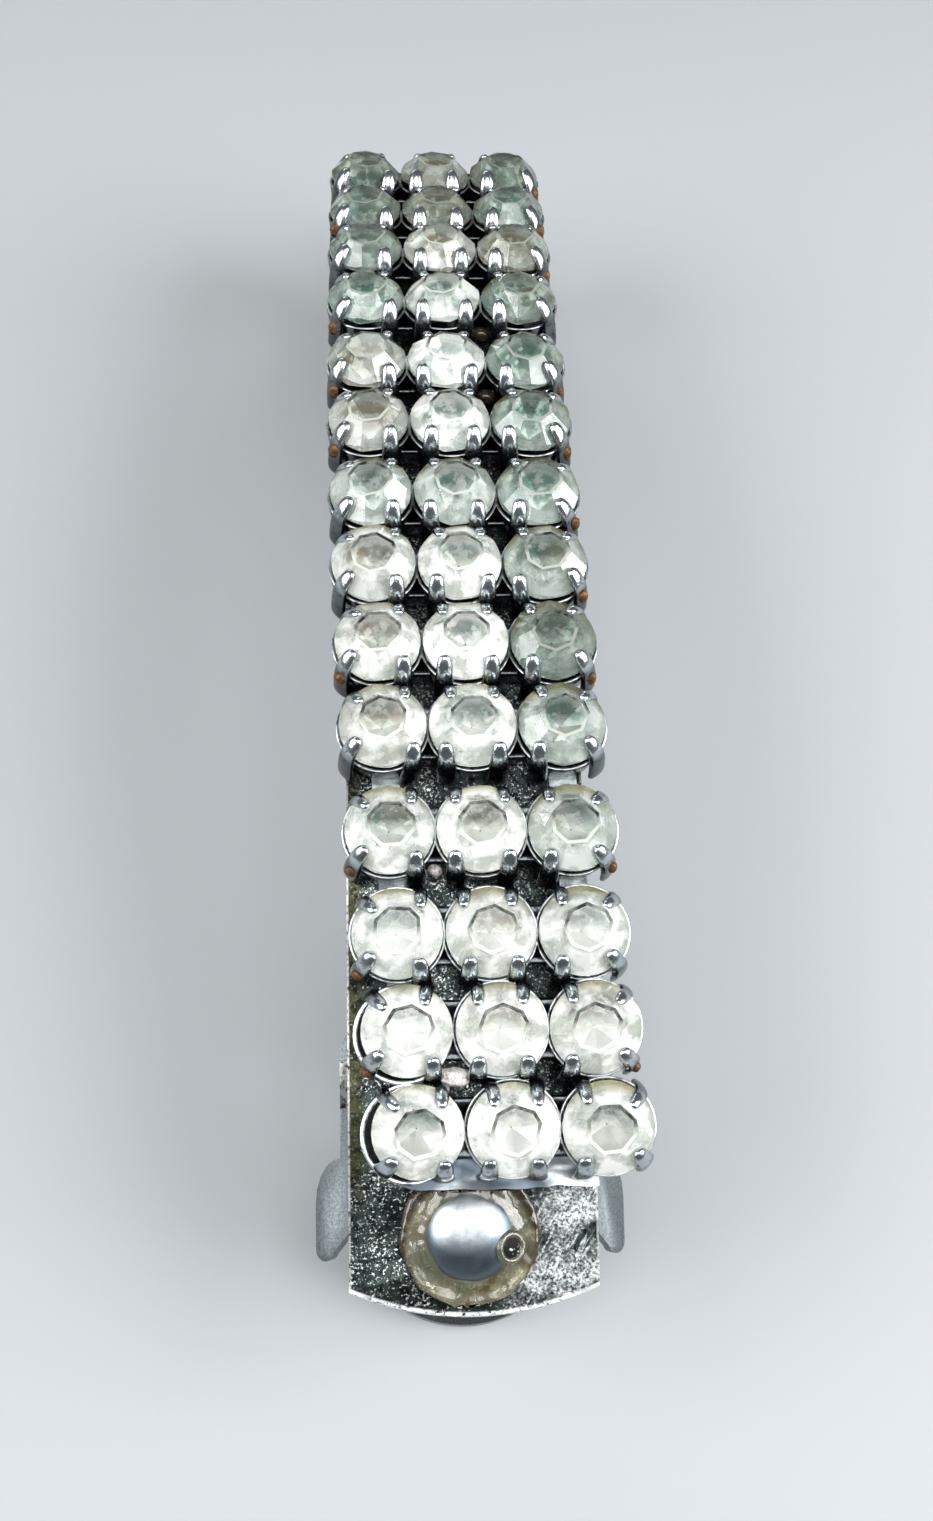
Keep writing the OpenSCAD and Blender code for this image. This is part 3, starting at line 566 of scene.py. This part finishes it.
chromeMaterial = pittedPlate()
edgeMaterial = edgeHighlightPaint()
settingMaterial = brightSetting()
rimMaterial = paleRim()
strapMaterial = matteStrap()
rivetMaterial = satinRivet()
steelMaterial = springSteel()
cementMaterial = oldAdhesive()
pitMaterial = paintedShadePit()
solderWhiteMaterial = paintedWhiteSolder()
rustMaterial = rustBloom()
glassMaterial = crownGlass()
arrisMaterial = tableArris()
foilMaterial = stoneFoil()
print("materials made")


# ---- stones ----

# heights stand over the plate; tableFlat is the table's radius to its flats, and tilt is in degrees
stoneSizes = {"radius": 2.05 * mm, "tableFlat": 1.016 * mm, "table": 3.02 * mm, "girdleTop": 2.07 * mm,
              "girdleLow": 1.92 * mm, "culet": 0.42 * mm, "culetRadius": 0.05 * mm, "arris": 0.15 * mm,
              "facets": 8, "tilt": 2.5, "pitch": 4.2 * mm}
# how dark the left, middle and right stone of each row is painted: 0 is white, 1 is dark. It rises row by row
# away from the catch as painted shade, and varies from stone to stone as tarnished foil
stoneTones = {1: (0.02, 0.03, 0.16), 2: (0.02, 0.08, 0.12), 3: (0.08, 0.18, 0.22), 4: (0.14, 0.02, 0.3),
              5: (0.14, 0.05, 0.42), 6: (0.2, 0.02, 0.7), 7: (0.25, 0.05, 0.5), 8: (0.4, 0.35, 0.55),
              9: (0.45, 0.1, 0.65), 10: (0.55, 0.15, 0.65), 11: (0.65, 0.25, 0.7), 12: (0.7, 0.35, 0.65),
              13: (0.75, 0.75, 0.75), 14: (0.8, 0.65, 0.85)}


def cutFacets(piece, through, slope, side):
    # cuts of the lapidary's wheel all round, each through a point at that height, leaning by the slope
    radius, height = through
    for k in range(stoneSizes["facets"]):
        turn = k * 2 * math.pi / stoneSizes["facets"]
        bpy.ops.mesh.select_all(action="SELECT")
        bpy.ops.mesh.bisect(
            plane_co=(radius * math.cos(turn), radius * math.sin(turn), height),
            plane_no=(math.cos(turn) * math.cos(slope), math.sin(turn) * math.cos(slope),
                      side * math.sin(slope)),
            use_fill=True, clear_outer=True)


def cutStone():
    s = stoneSizes
    bpy.ops.mesh.primitive_cylinder_add(vertices=32, radius=s["radius"], depth=s["table"] - s["culet"],
                                        location=(0, 0, (s["table"] + s["culet"]) / 2))
    stone = newPiece("stone")
    applyPlace(stone)
    editPiece(stone)
    crownLean = math.atan2(s["radius"] - s["tableFlat"], s["table"] - s["girdleTop"])
    backLean = math.atan2(s["radius"] - s["culetRadius"], s["girdleLow"] - s["culet"])
    cutFacets(stone, (s["tableFlat"], s["table"]), crownLean, 1)
    cutFacets(stone, (s["culetRadius"], s["culet"]), backLean, -1)
    pickFaces(stone, lambda middle, normal: normal.z > 0.99)
    bpy.ops.mesh.inset(thickness=s["arris"])
    leaveEdit()
    for material in (glassMaterial, foilMaterial, arrisMaterial):
        stone.data.materials.append(material)
    for face in stone.data.polygons:
        onArris = face.normal.z > 0.99 and face.center.xy.length > s["tableFlat"] / 2
        face.material_index = 1 if face.normal.z < -0.1 else 2 if onArris else 0
    return stone


def mapStone(stone, place, tone):
    # U and V run from -1 to 1 across the stone, V along the clip
    flat = stone.data.uv_layers.new(name="onStone")
    back = place.inverted()
    for loop in stone.data.loops:
        corner = back @ stone.data.vertices[loop.vertex_index].co
        flat.data[loop.index].uv = corner.xy / stoneSizes["radius"]
    tones = stone.data.attributes.new("tone", "FLOAT", "FACE")
    tones.data.foreach_set("value", [tone] * len(stone.data.polygons))


def rowPlaces(number):
    # frames of one row's three stones, from the CAD stones' box: its middle lies at the girdles' height
    low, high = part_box(f"stones_row_{number:02d}")
    girdle = (stoneSizes["girdleTop"] + stoneSizes["girdleLow"]) / 2
    angle = archAngle((low.y + high.y) / 2, girdle)
    middle = (low.x + high.x) / 2
    return [onArch(angle, middle + (c - 1) * stoneSizes["pitch"]) for c in range(3)]


def setStones(stone):
    lift = Matrix.Translation((0, 0, stoneSizes["girdleLow"]))
    for number in range(1, rowCount + 1):
        copies = []
        for place, tone in zip(rowPlaces(number), stoneTones[number]):
            lean = Matrix.Rotation(math.radians(chance.gauss(0, stoneSizes["tilt"])), 4,
                                   Vector((chance.uniform(-1, 1), chance.uniform(-1, 1), 0)))
            spin = Matrix.Rotation(chance.uniform(0, 2 * math.pi / stoneSizes["facets"]), 4, "Z")
            twin = copyPiece(stone, place @ lift @ lean @ spin @ lift.inverted())
            mapStone(twin, place, tone)
            copies.append(twin)
        row = joinPieces(f"stonesRow{number:02d}", copies)
        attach(row, "plate")
        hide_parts(f"stones_row_{number:02d}")
    dropPiece(stone)


setStones(cutStone())
print("stones cut and set")


# ---- settings ----

# corner and inner are where the claws stand, from their stone's middle; turn and lean, in degrees, are how
# far they stray; the claws on the hinge's side are slimmer, lower and further in by their three shares
clawSizes = {"width": 1.12 * mm, "thickness": 0.44 * mm, "corner": 2.28 * mm, "inner": (1.14 * mm, 2.02 * mm),
             "turn": 3, "lean": 2, "farSlim": 0.8, "farLow": 0.97, "farIn": 0.93}
# one station after another up a claw: mm outwards, mm up, degrees of lean to the stone, share of its width
clawPath = [(0.2, 0.3, 0, 1.0), (0.12, 1.2, 6, 0.96), (0, 1.8, 14, 0.9), (-0.16, 2.25, 28, 0.8),
            (-0.46, 2.62, 46, 0.74), (-0.9, 2.9, 60, 0.5)]
cupSizes = {"radius": 2.02 * mm, "rim": 2.2 * mm, "height": 1.64 * mm, "wall": 0.11 * mm, "floor": 0.45 * mm}
wideCupSizes = {"radius": 2.08 * mm, "rim": 2.22 * mm, "height": 1.6 * mm, "wall": 0.17 * mm,
                "floor": 0.45 * mm}
cupDie = {"floorShare": 0.35, "roundedRim": 0.05 * mm, "brightRim": 0.06 * mm}     # the same for both cups
webSizes = {"width": 1.5 * mm, "length": 2.7 * mm, "height": 1.15 * mm, "saddle": 0.6 * mm, "sunk": 0.35 * mm}


def bendClaw():
    # stands on the Z axis with its flat back towards -X, where the stone is
    c = clawSizes
    before = clawPath[0]
    bpy.ops.mesh.primitive_cube_add(size=1, location=(before[0] * mm, 0, before[1] * mm / 2),
                                    scale=(c["thickness"], c["width"], before[1] * mm))
    claw = newPiece("claw")
    bpy.ops.object.transform_apply(location=True, rotation=True, scale=True)
    editPiece(claw)
    pickFaces(claw, lambda middle, normal: normal.z > 0.9)
    for out, height, lean, share in clawPath[1:]:
        step = ((out - before[0]) * mm, 0, (height - before[1]) * mm)
        bpy.ops.mesh.extrude_region_move(TRANSFORM_OT_translate={"value": step})
        here = (out * mm, 0, height * mm)
        bpy.ops.transform.resize(value=(1, share / before[3], 1), center_override=here)
        bpy.ops.transform.rotate(value=math.radians(lean - before[2]), orient_axis="Y", center_override=here)
        before = (out, height, lean, share)
    leaveEdit()
    applyModifier(claw, "SUBSURF", levels=2, render_levels=2)
    smoothPiece(claw, 80)
    return claw


def pressCup(s):
    # drawn cup: flared to its rim, hollowed down to a smaller floor, its rim rolled and given the paler rim
    # material, free of painted shade
    bpy.ops.mesh.primitive_cylinder_add(vertices=40, radius=s["radius"], depth=s["height"],
                                        location=(0, 0, s["height"] / 2))
    cup = newPiece("cup")
    applyPlace(cup)
    editPiece(cup)
    pickFaces(cup, lambda middle, normal: normal.z > 0.9)
    flare = s["rim"] / s["radius"]
    bpy.ops.transform.resize(value=(flare, flare, 1), center_override=(0, 0, s["height"]))
    bpy.ops.mesh.inset(thickness=s["wall"])
    bpy.ops.mesh.extrude_region_move(TRANSFORM_OT_translate={"value": (0, 0, s["floor"] - s["height"])})
    bpy.ops.transform.resize(value=(cupDie["floorShare"], cupDie["floorShare"], 1),
                             center_override=(0, 0, s["floor"]))
    leaveEdit()
    applyModifier(cup, "BEVEL", width=cupDie["roundedRim"], segments=2, limit_method="ANGLE",
                  angle_limit=math.radians(40))
    smoothPiece(cup, 50)
    for material in (settingMaterial, rimMaterial):
        cup.data.materials.append(material)
    for face in cup.data.polygons:
        face.material_index = int(face.center.z > s["height"] - cupDie["brightRim"])
    return cup


def pressWeb():
    # joins two cups of a row, sunk like a saddle between them
    s = webSizes
    bpy.ops.mesh.primitive_cube_add(size=1, location=(0, 0, s["height"] / 2),
                                    scale=(s["width"], s["length"], s["height"]))
    web = newPiece("web")
    bpy.ops.object.transform_apply(location=True, rotation=True, scale=True)
    editPiece(web)
    bpy.ops.mesh.subdivide(number_cuts=3)
    pickFaces(web, lambda middle, normal: normal.z > 0.9 and abs(middle.y) < s["saddle"])
    bpy.ops.transform.translate(value=(0, 0, -s["sunk"]))
    leaveEdit()
    applyModifier(web, "SUBSURF", levels=1, render_levels=1)
    smoothPiece(web, 60)
    return web


# left, right and front are measured from the outer stones' middles; cutBack says how far in from the left end
# the strip is narrowed, and to what share; a wave is its size and its height
apronSizes = {"left": 1.75 * mm, "right": -0.3 * mm, "front": 2.68 * mm, "width": 1.7 * mm,
              "thickness": 0.22 * mm, "lift": 0.4 * mm, "cutBack": ((0.9 * mm, 0.88), (0.4 * mm, 0.7)),
              "edgeWave": (1.7 * mm, 0.55 * mm), "faceWave": (1.4 * mm, 0.5 * mm)}
# mm: radii of the drops, before their underside is cut off at a share of their height
blobSizes = {"solderBlob": (0.8, 0.45, 0.36), "chip": (0.34, 0.3, 0.28), "resin": (0.55, 0.42, 0.3),
             "rust": (0.3, 0.3, 0.46)}
blobForm = {"cutAt": 0.6, "lump": 0.4 * mm, "lumpDepth": 0.25 * mm, "tip": 0.4}     # tip: radians to the catch
# by row: what stands there, in which gap between the cups, and mm along the clip and up
blobPlaces = {2: [("solderBlob", 0, -2.05, 1.3)], 4: [("chip", 0, -1.7, 1.1)],
              10: [("resin", 1, -1.55, 0.9)], 11: [("resin", 1, -1.6, 0.9)]}
# the share of outer corners that have rusted, and where, from the outer stone's middle
rustSpots = {"share": 0.75, "aside": 1.76 * mm, "along": -1.72 * mm, "up": (1.25 * mm, 1.6 * mm)}
wideCups = {1: (-0.32, -0.14), 2: (-0.18, -0.14)}     # left cups spread outwards and forwards, mm


def shearApron():
    # the strip's end was cut off by hand: its edge and its face are wavy
    s = apronSizes
    length = s["left"] + 2 * stoneSizes["pitch"] + s["right"]
    middle = (length / 2 - s["left"], s["width"] / 2 - s["front"], s["thickness"] / 2 + s["lift"])
    bpy.ops.mesh.primitive_cube_add(size=1, location=middle, scale=(length, s["width"], s["thickness"]))
    apron = newPiece("apron")
    bpy.ops.object.transform_apply(location=True, rotation=True, scale=True)
    editPiece(apron)
    bpy.ops.mesh.subdivide(number_cuts=20)
    back = (0, s["width"] - s["front"], 0)
    for inwards, share in s["cutBack"]:
        pickFaces(apron, lambda middle, normal: middle.x < inwards - s["left"])
        bpy.ops.transform.resize(value=(1, share, 1), center_override=back)
    leaveEdit()
    wrinkle(apron, *s["edgeWave"], "Y")
    wrinkle(apron, *s["faceWave"], "Z")
    smoothPiece(apron, 50)
    return apron


def meltBlob(kind, material):
    # solder, resin or rust that stood as a drop: a lumpy ball, flat underneath
    radii = [r * mm for r in blobSizes[kind]]
    bpy.ops.mesh.primitive_uv_sphere_add(segments=14, ring_count=8, radius=1, scale=radii)
    blob = newPiece(kind)
    bpy.ops.object.transform_apply(location=True, rotation=True, scale=True)
    editPiece(blob)
    bpy.ops.mesh.select_all(action="SELECT")
    bpy.ops.mesh.bisect(plane_co=(0, 0, -blobForm["cutAt"] * radii[2]), plane_no=(0, 0, -1), use_fill=True,
                        clear_outer=True)
    leaveEdit()
    wrinkle(blob, blobForm["lump"], blobForm["lumpDepth"])
    smoothPiece(blob, 60)
    blob.data.materials.append(material)
    return blob


def clawPlace(atRowEnd, xSide, ySide):
    # claws at the row's ends stand at its corners and lean to the stone's middle, the others along the clip
    c = clawSizes
    if atRowEnd:
        turn = math.radians(45 if xSide > 0 else 135) * ySide
        foot = Vector((math.cos(turn), math.sin(turn), 0)) * c["corner"]
    else:
        turn = math.radians(90 * ySide)
        foot = Vector((c["inner"][0] * xSide, c["inner"][1] * ySide, 0))
    turn += math.radians(chance.gauss(0, c["turn"]))
    stray = Matrix.Rotation(turn, 4, "Z") @ Matrix.Rotation(math.radians(chance.gauss(0, c["lean"])), 4, "X")
    if ySide < 0:
        return Matrix.Translation(foot) @ stray
    return Matrix.Translation(foot * c["farIn"]) @ stray @ Matrix.Diagonal((1, c["farSlim"], c["farLow"], 1))


def makeSettings():
    claw, cup, wideCup = bendClaw(), pressCup(cupSizes), pressCup(wideCupSizes)
    web, apron = pressWeb(), shearApron()
    for master in (claw, web):
        master.data.materials.append(settingMaterial)
    apron.data.materials.append(rivetMaterial)
    # the solder blob takes the painted white highlight material, and the chip shares it
    blobMaterials = {"solderBlob": solderWhiteMaterial, "chip": solderWhiteMaterial, "resin": cementMaterial,
                     "rust": rustMaterial}
    blobs = {kind: meltBlob(kind, material) for kind, material in blobMaterials.items()}
    for number in range(1, rowCount + 1):
        parts = []
        places = rowPlaces(number)
        for c, place in enumerate(places):
            if c or number not in wideCups:
                parts.append(copyPiece(cup, place))
            for xSide in (-1, 1):
                for ySide in (-1, 1):
                    parts.append(copyPiece(claw, place @ clawPlace(c - 1 == xSide, xSide, ySide)))
            if c:
                between = Matrix.Translation((-stoneSizes["pitch"] / 2, 0, 0))
                parts.append(copyPiece(web, place @ between))
        if number in wideCups:
            aside = Vector((*wideCups[number], 0)) * mm
            parts.append(copyPiece(wideCup, places[0] @ Matrix.Translation(aside)))
        if number == 1:
            leftStone = Matrix.Translation((-stoneSizes["pitch"], 0, 0))
            parts.append(copyPiece(apron, places[1] @ leftStone))
        for kind, gap, along, up in blobPlaces.get(number, []):
            spot = Matrix.Translation((stoneSizes["pitch"] * (gap - 0.5), along * mm, up * mm))
            parts.append(copyPiece(blobs[kind], places[1] @ spot @ Matrix.Rotation(blobForm["tip"], 4, "X")))
        for side in (-1, 1):
            if number > 1 and chance.random() < rustSpots["share"]:
                up = chance.uniform(*rustSpots["up"])
                corner = Matrix.Translation((side * rustSpots["aside"], rustSpots["along"], up))
                parts.append(copyPiece(blobs["rust"], places[1 + side] @ corner))
        row = joinPieces(f"settingRow{number:02d}", parts)
        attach(row, "plate")
        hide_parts(f"setting_row_{number:02d}")
    for master in (claw, cup, wideCup, web, apron, *blobs.values()):
        dropPiece(master)


makeSettings()
print("settings pressed and claws bent")


# ---- rivet head and the cement round it ----

# fromEnd is the rivet's middle back from the plate's end, and shank its radius
rivetSizes = {"fromEnd": 2.35 * mm, "radius": 2.1 * mm, "height": 1.15 * mm, "shank": 1.2 * mm,
              "tail": 2 * mm}
# the cement's section, from its outer foot inwards: distance from the middle and height
cementPath = [(3.16, 0.14), (3.08, 0.3), (2.92, 0.36), (2.66, 0.24), (2.36, 0.25), (2.14, 0.42), (1.94, 0.5)]
cementCuts = {"front": -3.05 * mm, "back": 2.02 * mm}     # where the plate's end and the end strip stop it
cementWave = (1.1 * mm, 0.34 * mm)     # its wrinkles, and how high they stand
# the bubble: tilt in degrees, the floor's share of a ball's height and how far it is raised in the lip
pitSizes = {"place": (1.78, -0.46, 0.62), "radius": 0.58 * mm, "lip": 0.19 * mm, "tilt": 24,
            "lipWave": (0.4 * mm, 0.12 * mm), "floorFlat": 0.2, "floorUp": 0.04 * mm}


def rivetPlace():
    low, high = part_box("glue_ring")
    angle = (rivetSizes["fromEnd"] - arch["length"] / 2) / arch["radius"]
    return onArch(angle, (low.x + high.x) / 2) @ Matrix.Translation((0, 0, arch["solder"]))


def pressRivet():
    s = rivetSizes
    bpy.ops.mesh.primitive_uv_sphere_add(segments=48, ring_count=24, radius=s["radius"])
    rivet = newPiece("rivetDome")
    editPiece(rivet)
    bpy.ops.mesh.select_all(action="SELECT")
    bpy.ops.mesh.bisect(plane_co=(0, 0, 0), plane_no=(0, 0, -1), use_fill=True, clear_outer=True)
    bpy.ops.mesh.select_all(action="SELECT")
    bpy.ops.transform.resize(value=(1, 1, s["height"] / s["radius"]), center_override=(0, 0, 0))
    pickFaces(rivet, lambda middle, normal: normal.z < -0.9)
    bpy.ops.mesh.inset(thickness=s["radius"] - s["shank"])
    bpy.ops.mesh.extrude_region_move(TRANSFORM_OT_translate={"value": (0, 0, -s["tail"])})
    leaveEdit()
    smoothPiece(rivet, 50)
    rivet.data.transform(rivetPlace())
    rivet.data.materials.append(rivetMaterial)
    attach(rivet, "plate")
    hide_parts("catch_rivet")


def pourCement():
    # cement crept out round the head, drew up a wrinkled rim, and left a blown bubble on one side
    before = cementPath[0]
    bpy.ops.mesh.primitive_cylinder_add(vertices=96, radius=before[0] * mm, depth=before[1] * mm,
                                        location=(0, 0, before[1] * mm / 2))
    ring = newPiece("cementRing")
    applyPlace(ring)
    editPiece(ring)
    pickFaces(ring, lambda middle, normal: normal.z > 0.9)
    for radius, height in cementPath[1:]:
        bpy.ops.mesh.extrude_region_move(TRANSFORM_OT_translate={"value": (0, 0, (height - before[1]) * mm)})
        shrink = radius / before[0]
        bpy.ops.transform.resize(value=(shrink, shrink, 1), center_override=(0, 0, 0))
        before = (radius, height)
    leaveEdit()
    applyModifier(ring, "SUBSURF", levels=1, render_levels=1)
    wrinkle(ring, *cementWave)
    editPiece(ring)
    for y, side in ((cementCuts["front"], -1), (cementCuts["back"], 1)):
        bpy.ops.mesh.select_all(action="SELECT")
        bpy.ops.mesh.bisect(plane_co=(0, y, 0), plane_no=(0, side, 0), use_fill=True, clear_outer=True)
    leaveEdit()
    ring.data.materials.append(cementMaterial)

    s = pitSizes
    bpy.ops.mesh.primitive_torus_add(major_segments=24, minor_segments=10, major_radius=s["radius"],
                                     minor_radius=s["lip"])
    lip = newPiece("bubbleLip")
    wrinkle(lip, *s["lipWave"])
    lip.data.materials.append(cementMaterial)
    # the bubble's floor: a near-black disc painted as the shade inside the hole
    bpy.ops.mesh.primitive_uv_sphere_add(segments=20, ring_count=10, radius=s["radius"],
                                         scale=(1, 1, s["floorFlat"]), location=(0, 0, s["floorUp"]))
    floor = newPiece("bubbleFloor")
    bpy.ops.object.transform_apply(location=True, rotation=True, scale=True)
    floor.data.materials.append(pitMaterial)
    spot = Matrix.Translation(Vector(s["place"]) * mm) @ Matrix.Rotation(math.radians(s["tilt"]), 4, "Y")
    for part in (lip, floor):
        part.data.transform(spot)
    ring = joinPieces("cementRing", [ring, lip, floor])
    smoothPiece(ring, 60)
    ring.data.transform(rivetPlace())
    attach(ring, "plate")
    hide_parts("glue_ring")


pressRivet()
pourCement()
print("rivet pressed and cement poured")


# ---- sheet parts: the CAD shapes with their sharp corners broken ----

# corners sharper than this, in degrees, are broken; faces flatter than this are merged first
edgeWork = {"merge": 0.001 * mm, "flat": 0.3, "sharp": 35, "smooth": 30}


def brokenEdges(node, name, body, width, material, edge=None):
    # works on a copy, which takes the CAD node's place
    source = frame["nodes"][node]
    piece = source.copy()
    piece.data = source.data.copy()
    bpy.context.scene.collection.objects.link(piece)
    piece.parent = None
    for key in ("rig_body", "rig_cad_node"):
        if key in piece:
            del piece[key]
    piece.name = name
    piece.data.name = name
    editPiece(piece)
    bpy.ops.mesh.select_all(action="SELECT")
    bpy.ops.mesh.remove_doubles(threshold=edgeWork["merge"])
    bpy.ops.mesh.dissolve_limited(angle_limit=math.radians(edgeWork["flat"]))
    leaveEdit()
    piece.data.materials.clear()
    piece.data.materials.append(material)
    piece.data.materials.append(edge or material)
    applyModifier(piece, "BEVEL", width=width, segments=2, limit_method="ANGLE",
                  angle_limit=math.radians(edgeWork["sharp"]), use_clamp_overlap=True, material=1)
    smoothPiece(piece, edgeWork["smooth"])
    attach(piece, body)
    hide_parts(node)


# the plate's bevelled corners take the painted edge highlight
brokenEdges("back_plate", "backPlate", "plate", 0.1 * mm, chromeMaterial, edgeMaterial)
brokenEdges("clasp_arm", "claspArm", "clasp_arm", 0.1 * mm, steelMaterial)
brokenEdges("release_wing_left", "releaseWingLeft", "wing_left", 0.06 * mm, steelMaterial)
brokenEdges("release_wing_right", "releaseWingRight", "wing_right", 0.06 * mm, steelMaterial)
brokenEdges("tension_bar", "tensionBar", "tension_bar", 0.06 * mm, steelMaterial)
for node, material in {"catch_base": steelMaterial, "hinge_pin": rivetMaterial, "strap_left": strapMaterial,
                       "strap_right": strapMaterial}.items():
    frame["nodes"][node].data.materials.clear()
    frame["nodes"][node].data.materials.append(material)
print("sheet parts finished")


# ---- floor, light and camera ----

# metres and watts: place, size and strength of each softbox, all aimed at one point
softboxes = {"topSoftbox": ((0.006, -0.05, 0.2), (0.11, 0.11), 0.2),
             "rightSoftbox": ((0.16, -0.04, 0.13), (0.15, 0.15), 0.78),
             "leftSoftbox": ((-0.16, -0.03, 0.13), (0.15, 0.15), 0.54),
             "backStrip": ((-0.1, 0.34, 0.24), (0.3, 0.06), 0.25)}
studio = {"floor": 4, "floorColour": "#989C9F", "skyColour": "#C4C8CC", "sky": 0.28,
          "target": (0, -0.005, 0.01)}
# lens and sensor in mm, the eye's place in mm from the arch's top, and its turn in degrees
camera = {"lens": 35.72, "sensor": 36, "fromCrown": (-3.871, -42.657, 63.929),
          "turn": (26.122, -3.194, -0.633)}


def paleFloor():
    bpy.ops.mesh.primitive_plane_add(size=studio["floor"], location=(0, 0, 0))
    floor = newPiece("studioFloor")
    material = newMaterial("matteFloor", Roughness=0.8, Base_Color=studio["floorColour"])[0]
    floor.data.materials.append(material)


def addSoftbox(name, place, size, watts):
    light = bpy.data.lights.new(name, "AREA")
    light.shape = "RECTANGLE"
    light.size, light.size_y = size
    light.energy = watts
    lamp = bpy.data.objects.new(name, light)
    bpy.context.scene.collection.objects.link(lamp)
    lamp.location = place
    lamp.rotation_euler = (Vector(studio["target"]) - Vector(place)).to_track_quat("-Z", "Y").to_euler()


def studioLight():
    world = bpy.data.worlds.new("studio")
    bpy.context.scene.world = world
    world.use_nodes = True
    setInputs(world.node_tree.nodes["Background"], {"Color": studio["skyColour"], "Strength": studio["sky"]})
    for name, settings in softboxes.items():
        addSoftbox(name, *settings)


def placeCamera():
    data = bpy.data.cameras.new("photoAngle")
    data.lens = camera["lens"]
    data.sensor_width = camera["sensor"]
    data.clip_start = 0.001
    eye = bpy.data.objects.new("photoAngle", data)
    bpy.context.scene.collection.objects.link(eye)
    eye.location = Vector((archX, archY, archTop)) + Vector(camera["fromCrown"]) * mm
    eye.rotation_mode = "ZYX"
    eye.rotation_euler = [math.radians(a) for a in camera["turn"]]
    bpy.context.scene.camera = eye


paleFloor()
studioLight()
placeCamera()
bpy.context.scene.view_settings.view_transform = "Standard"
print("floor, light and camera placed")
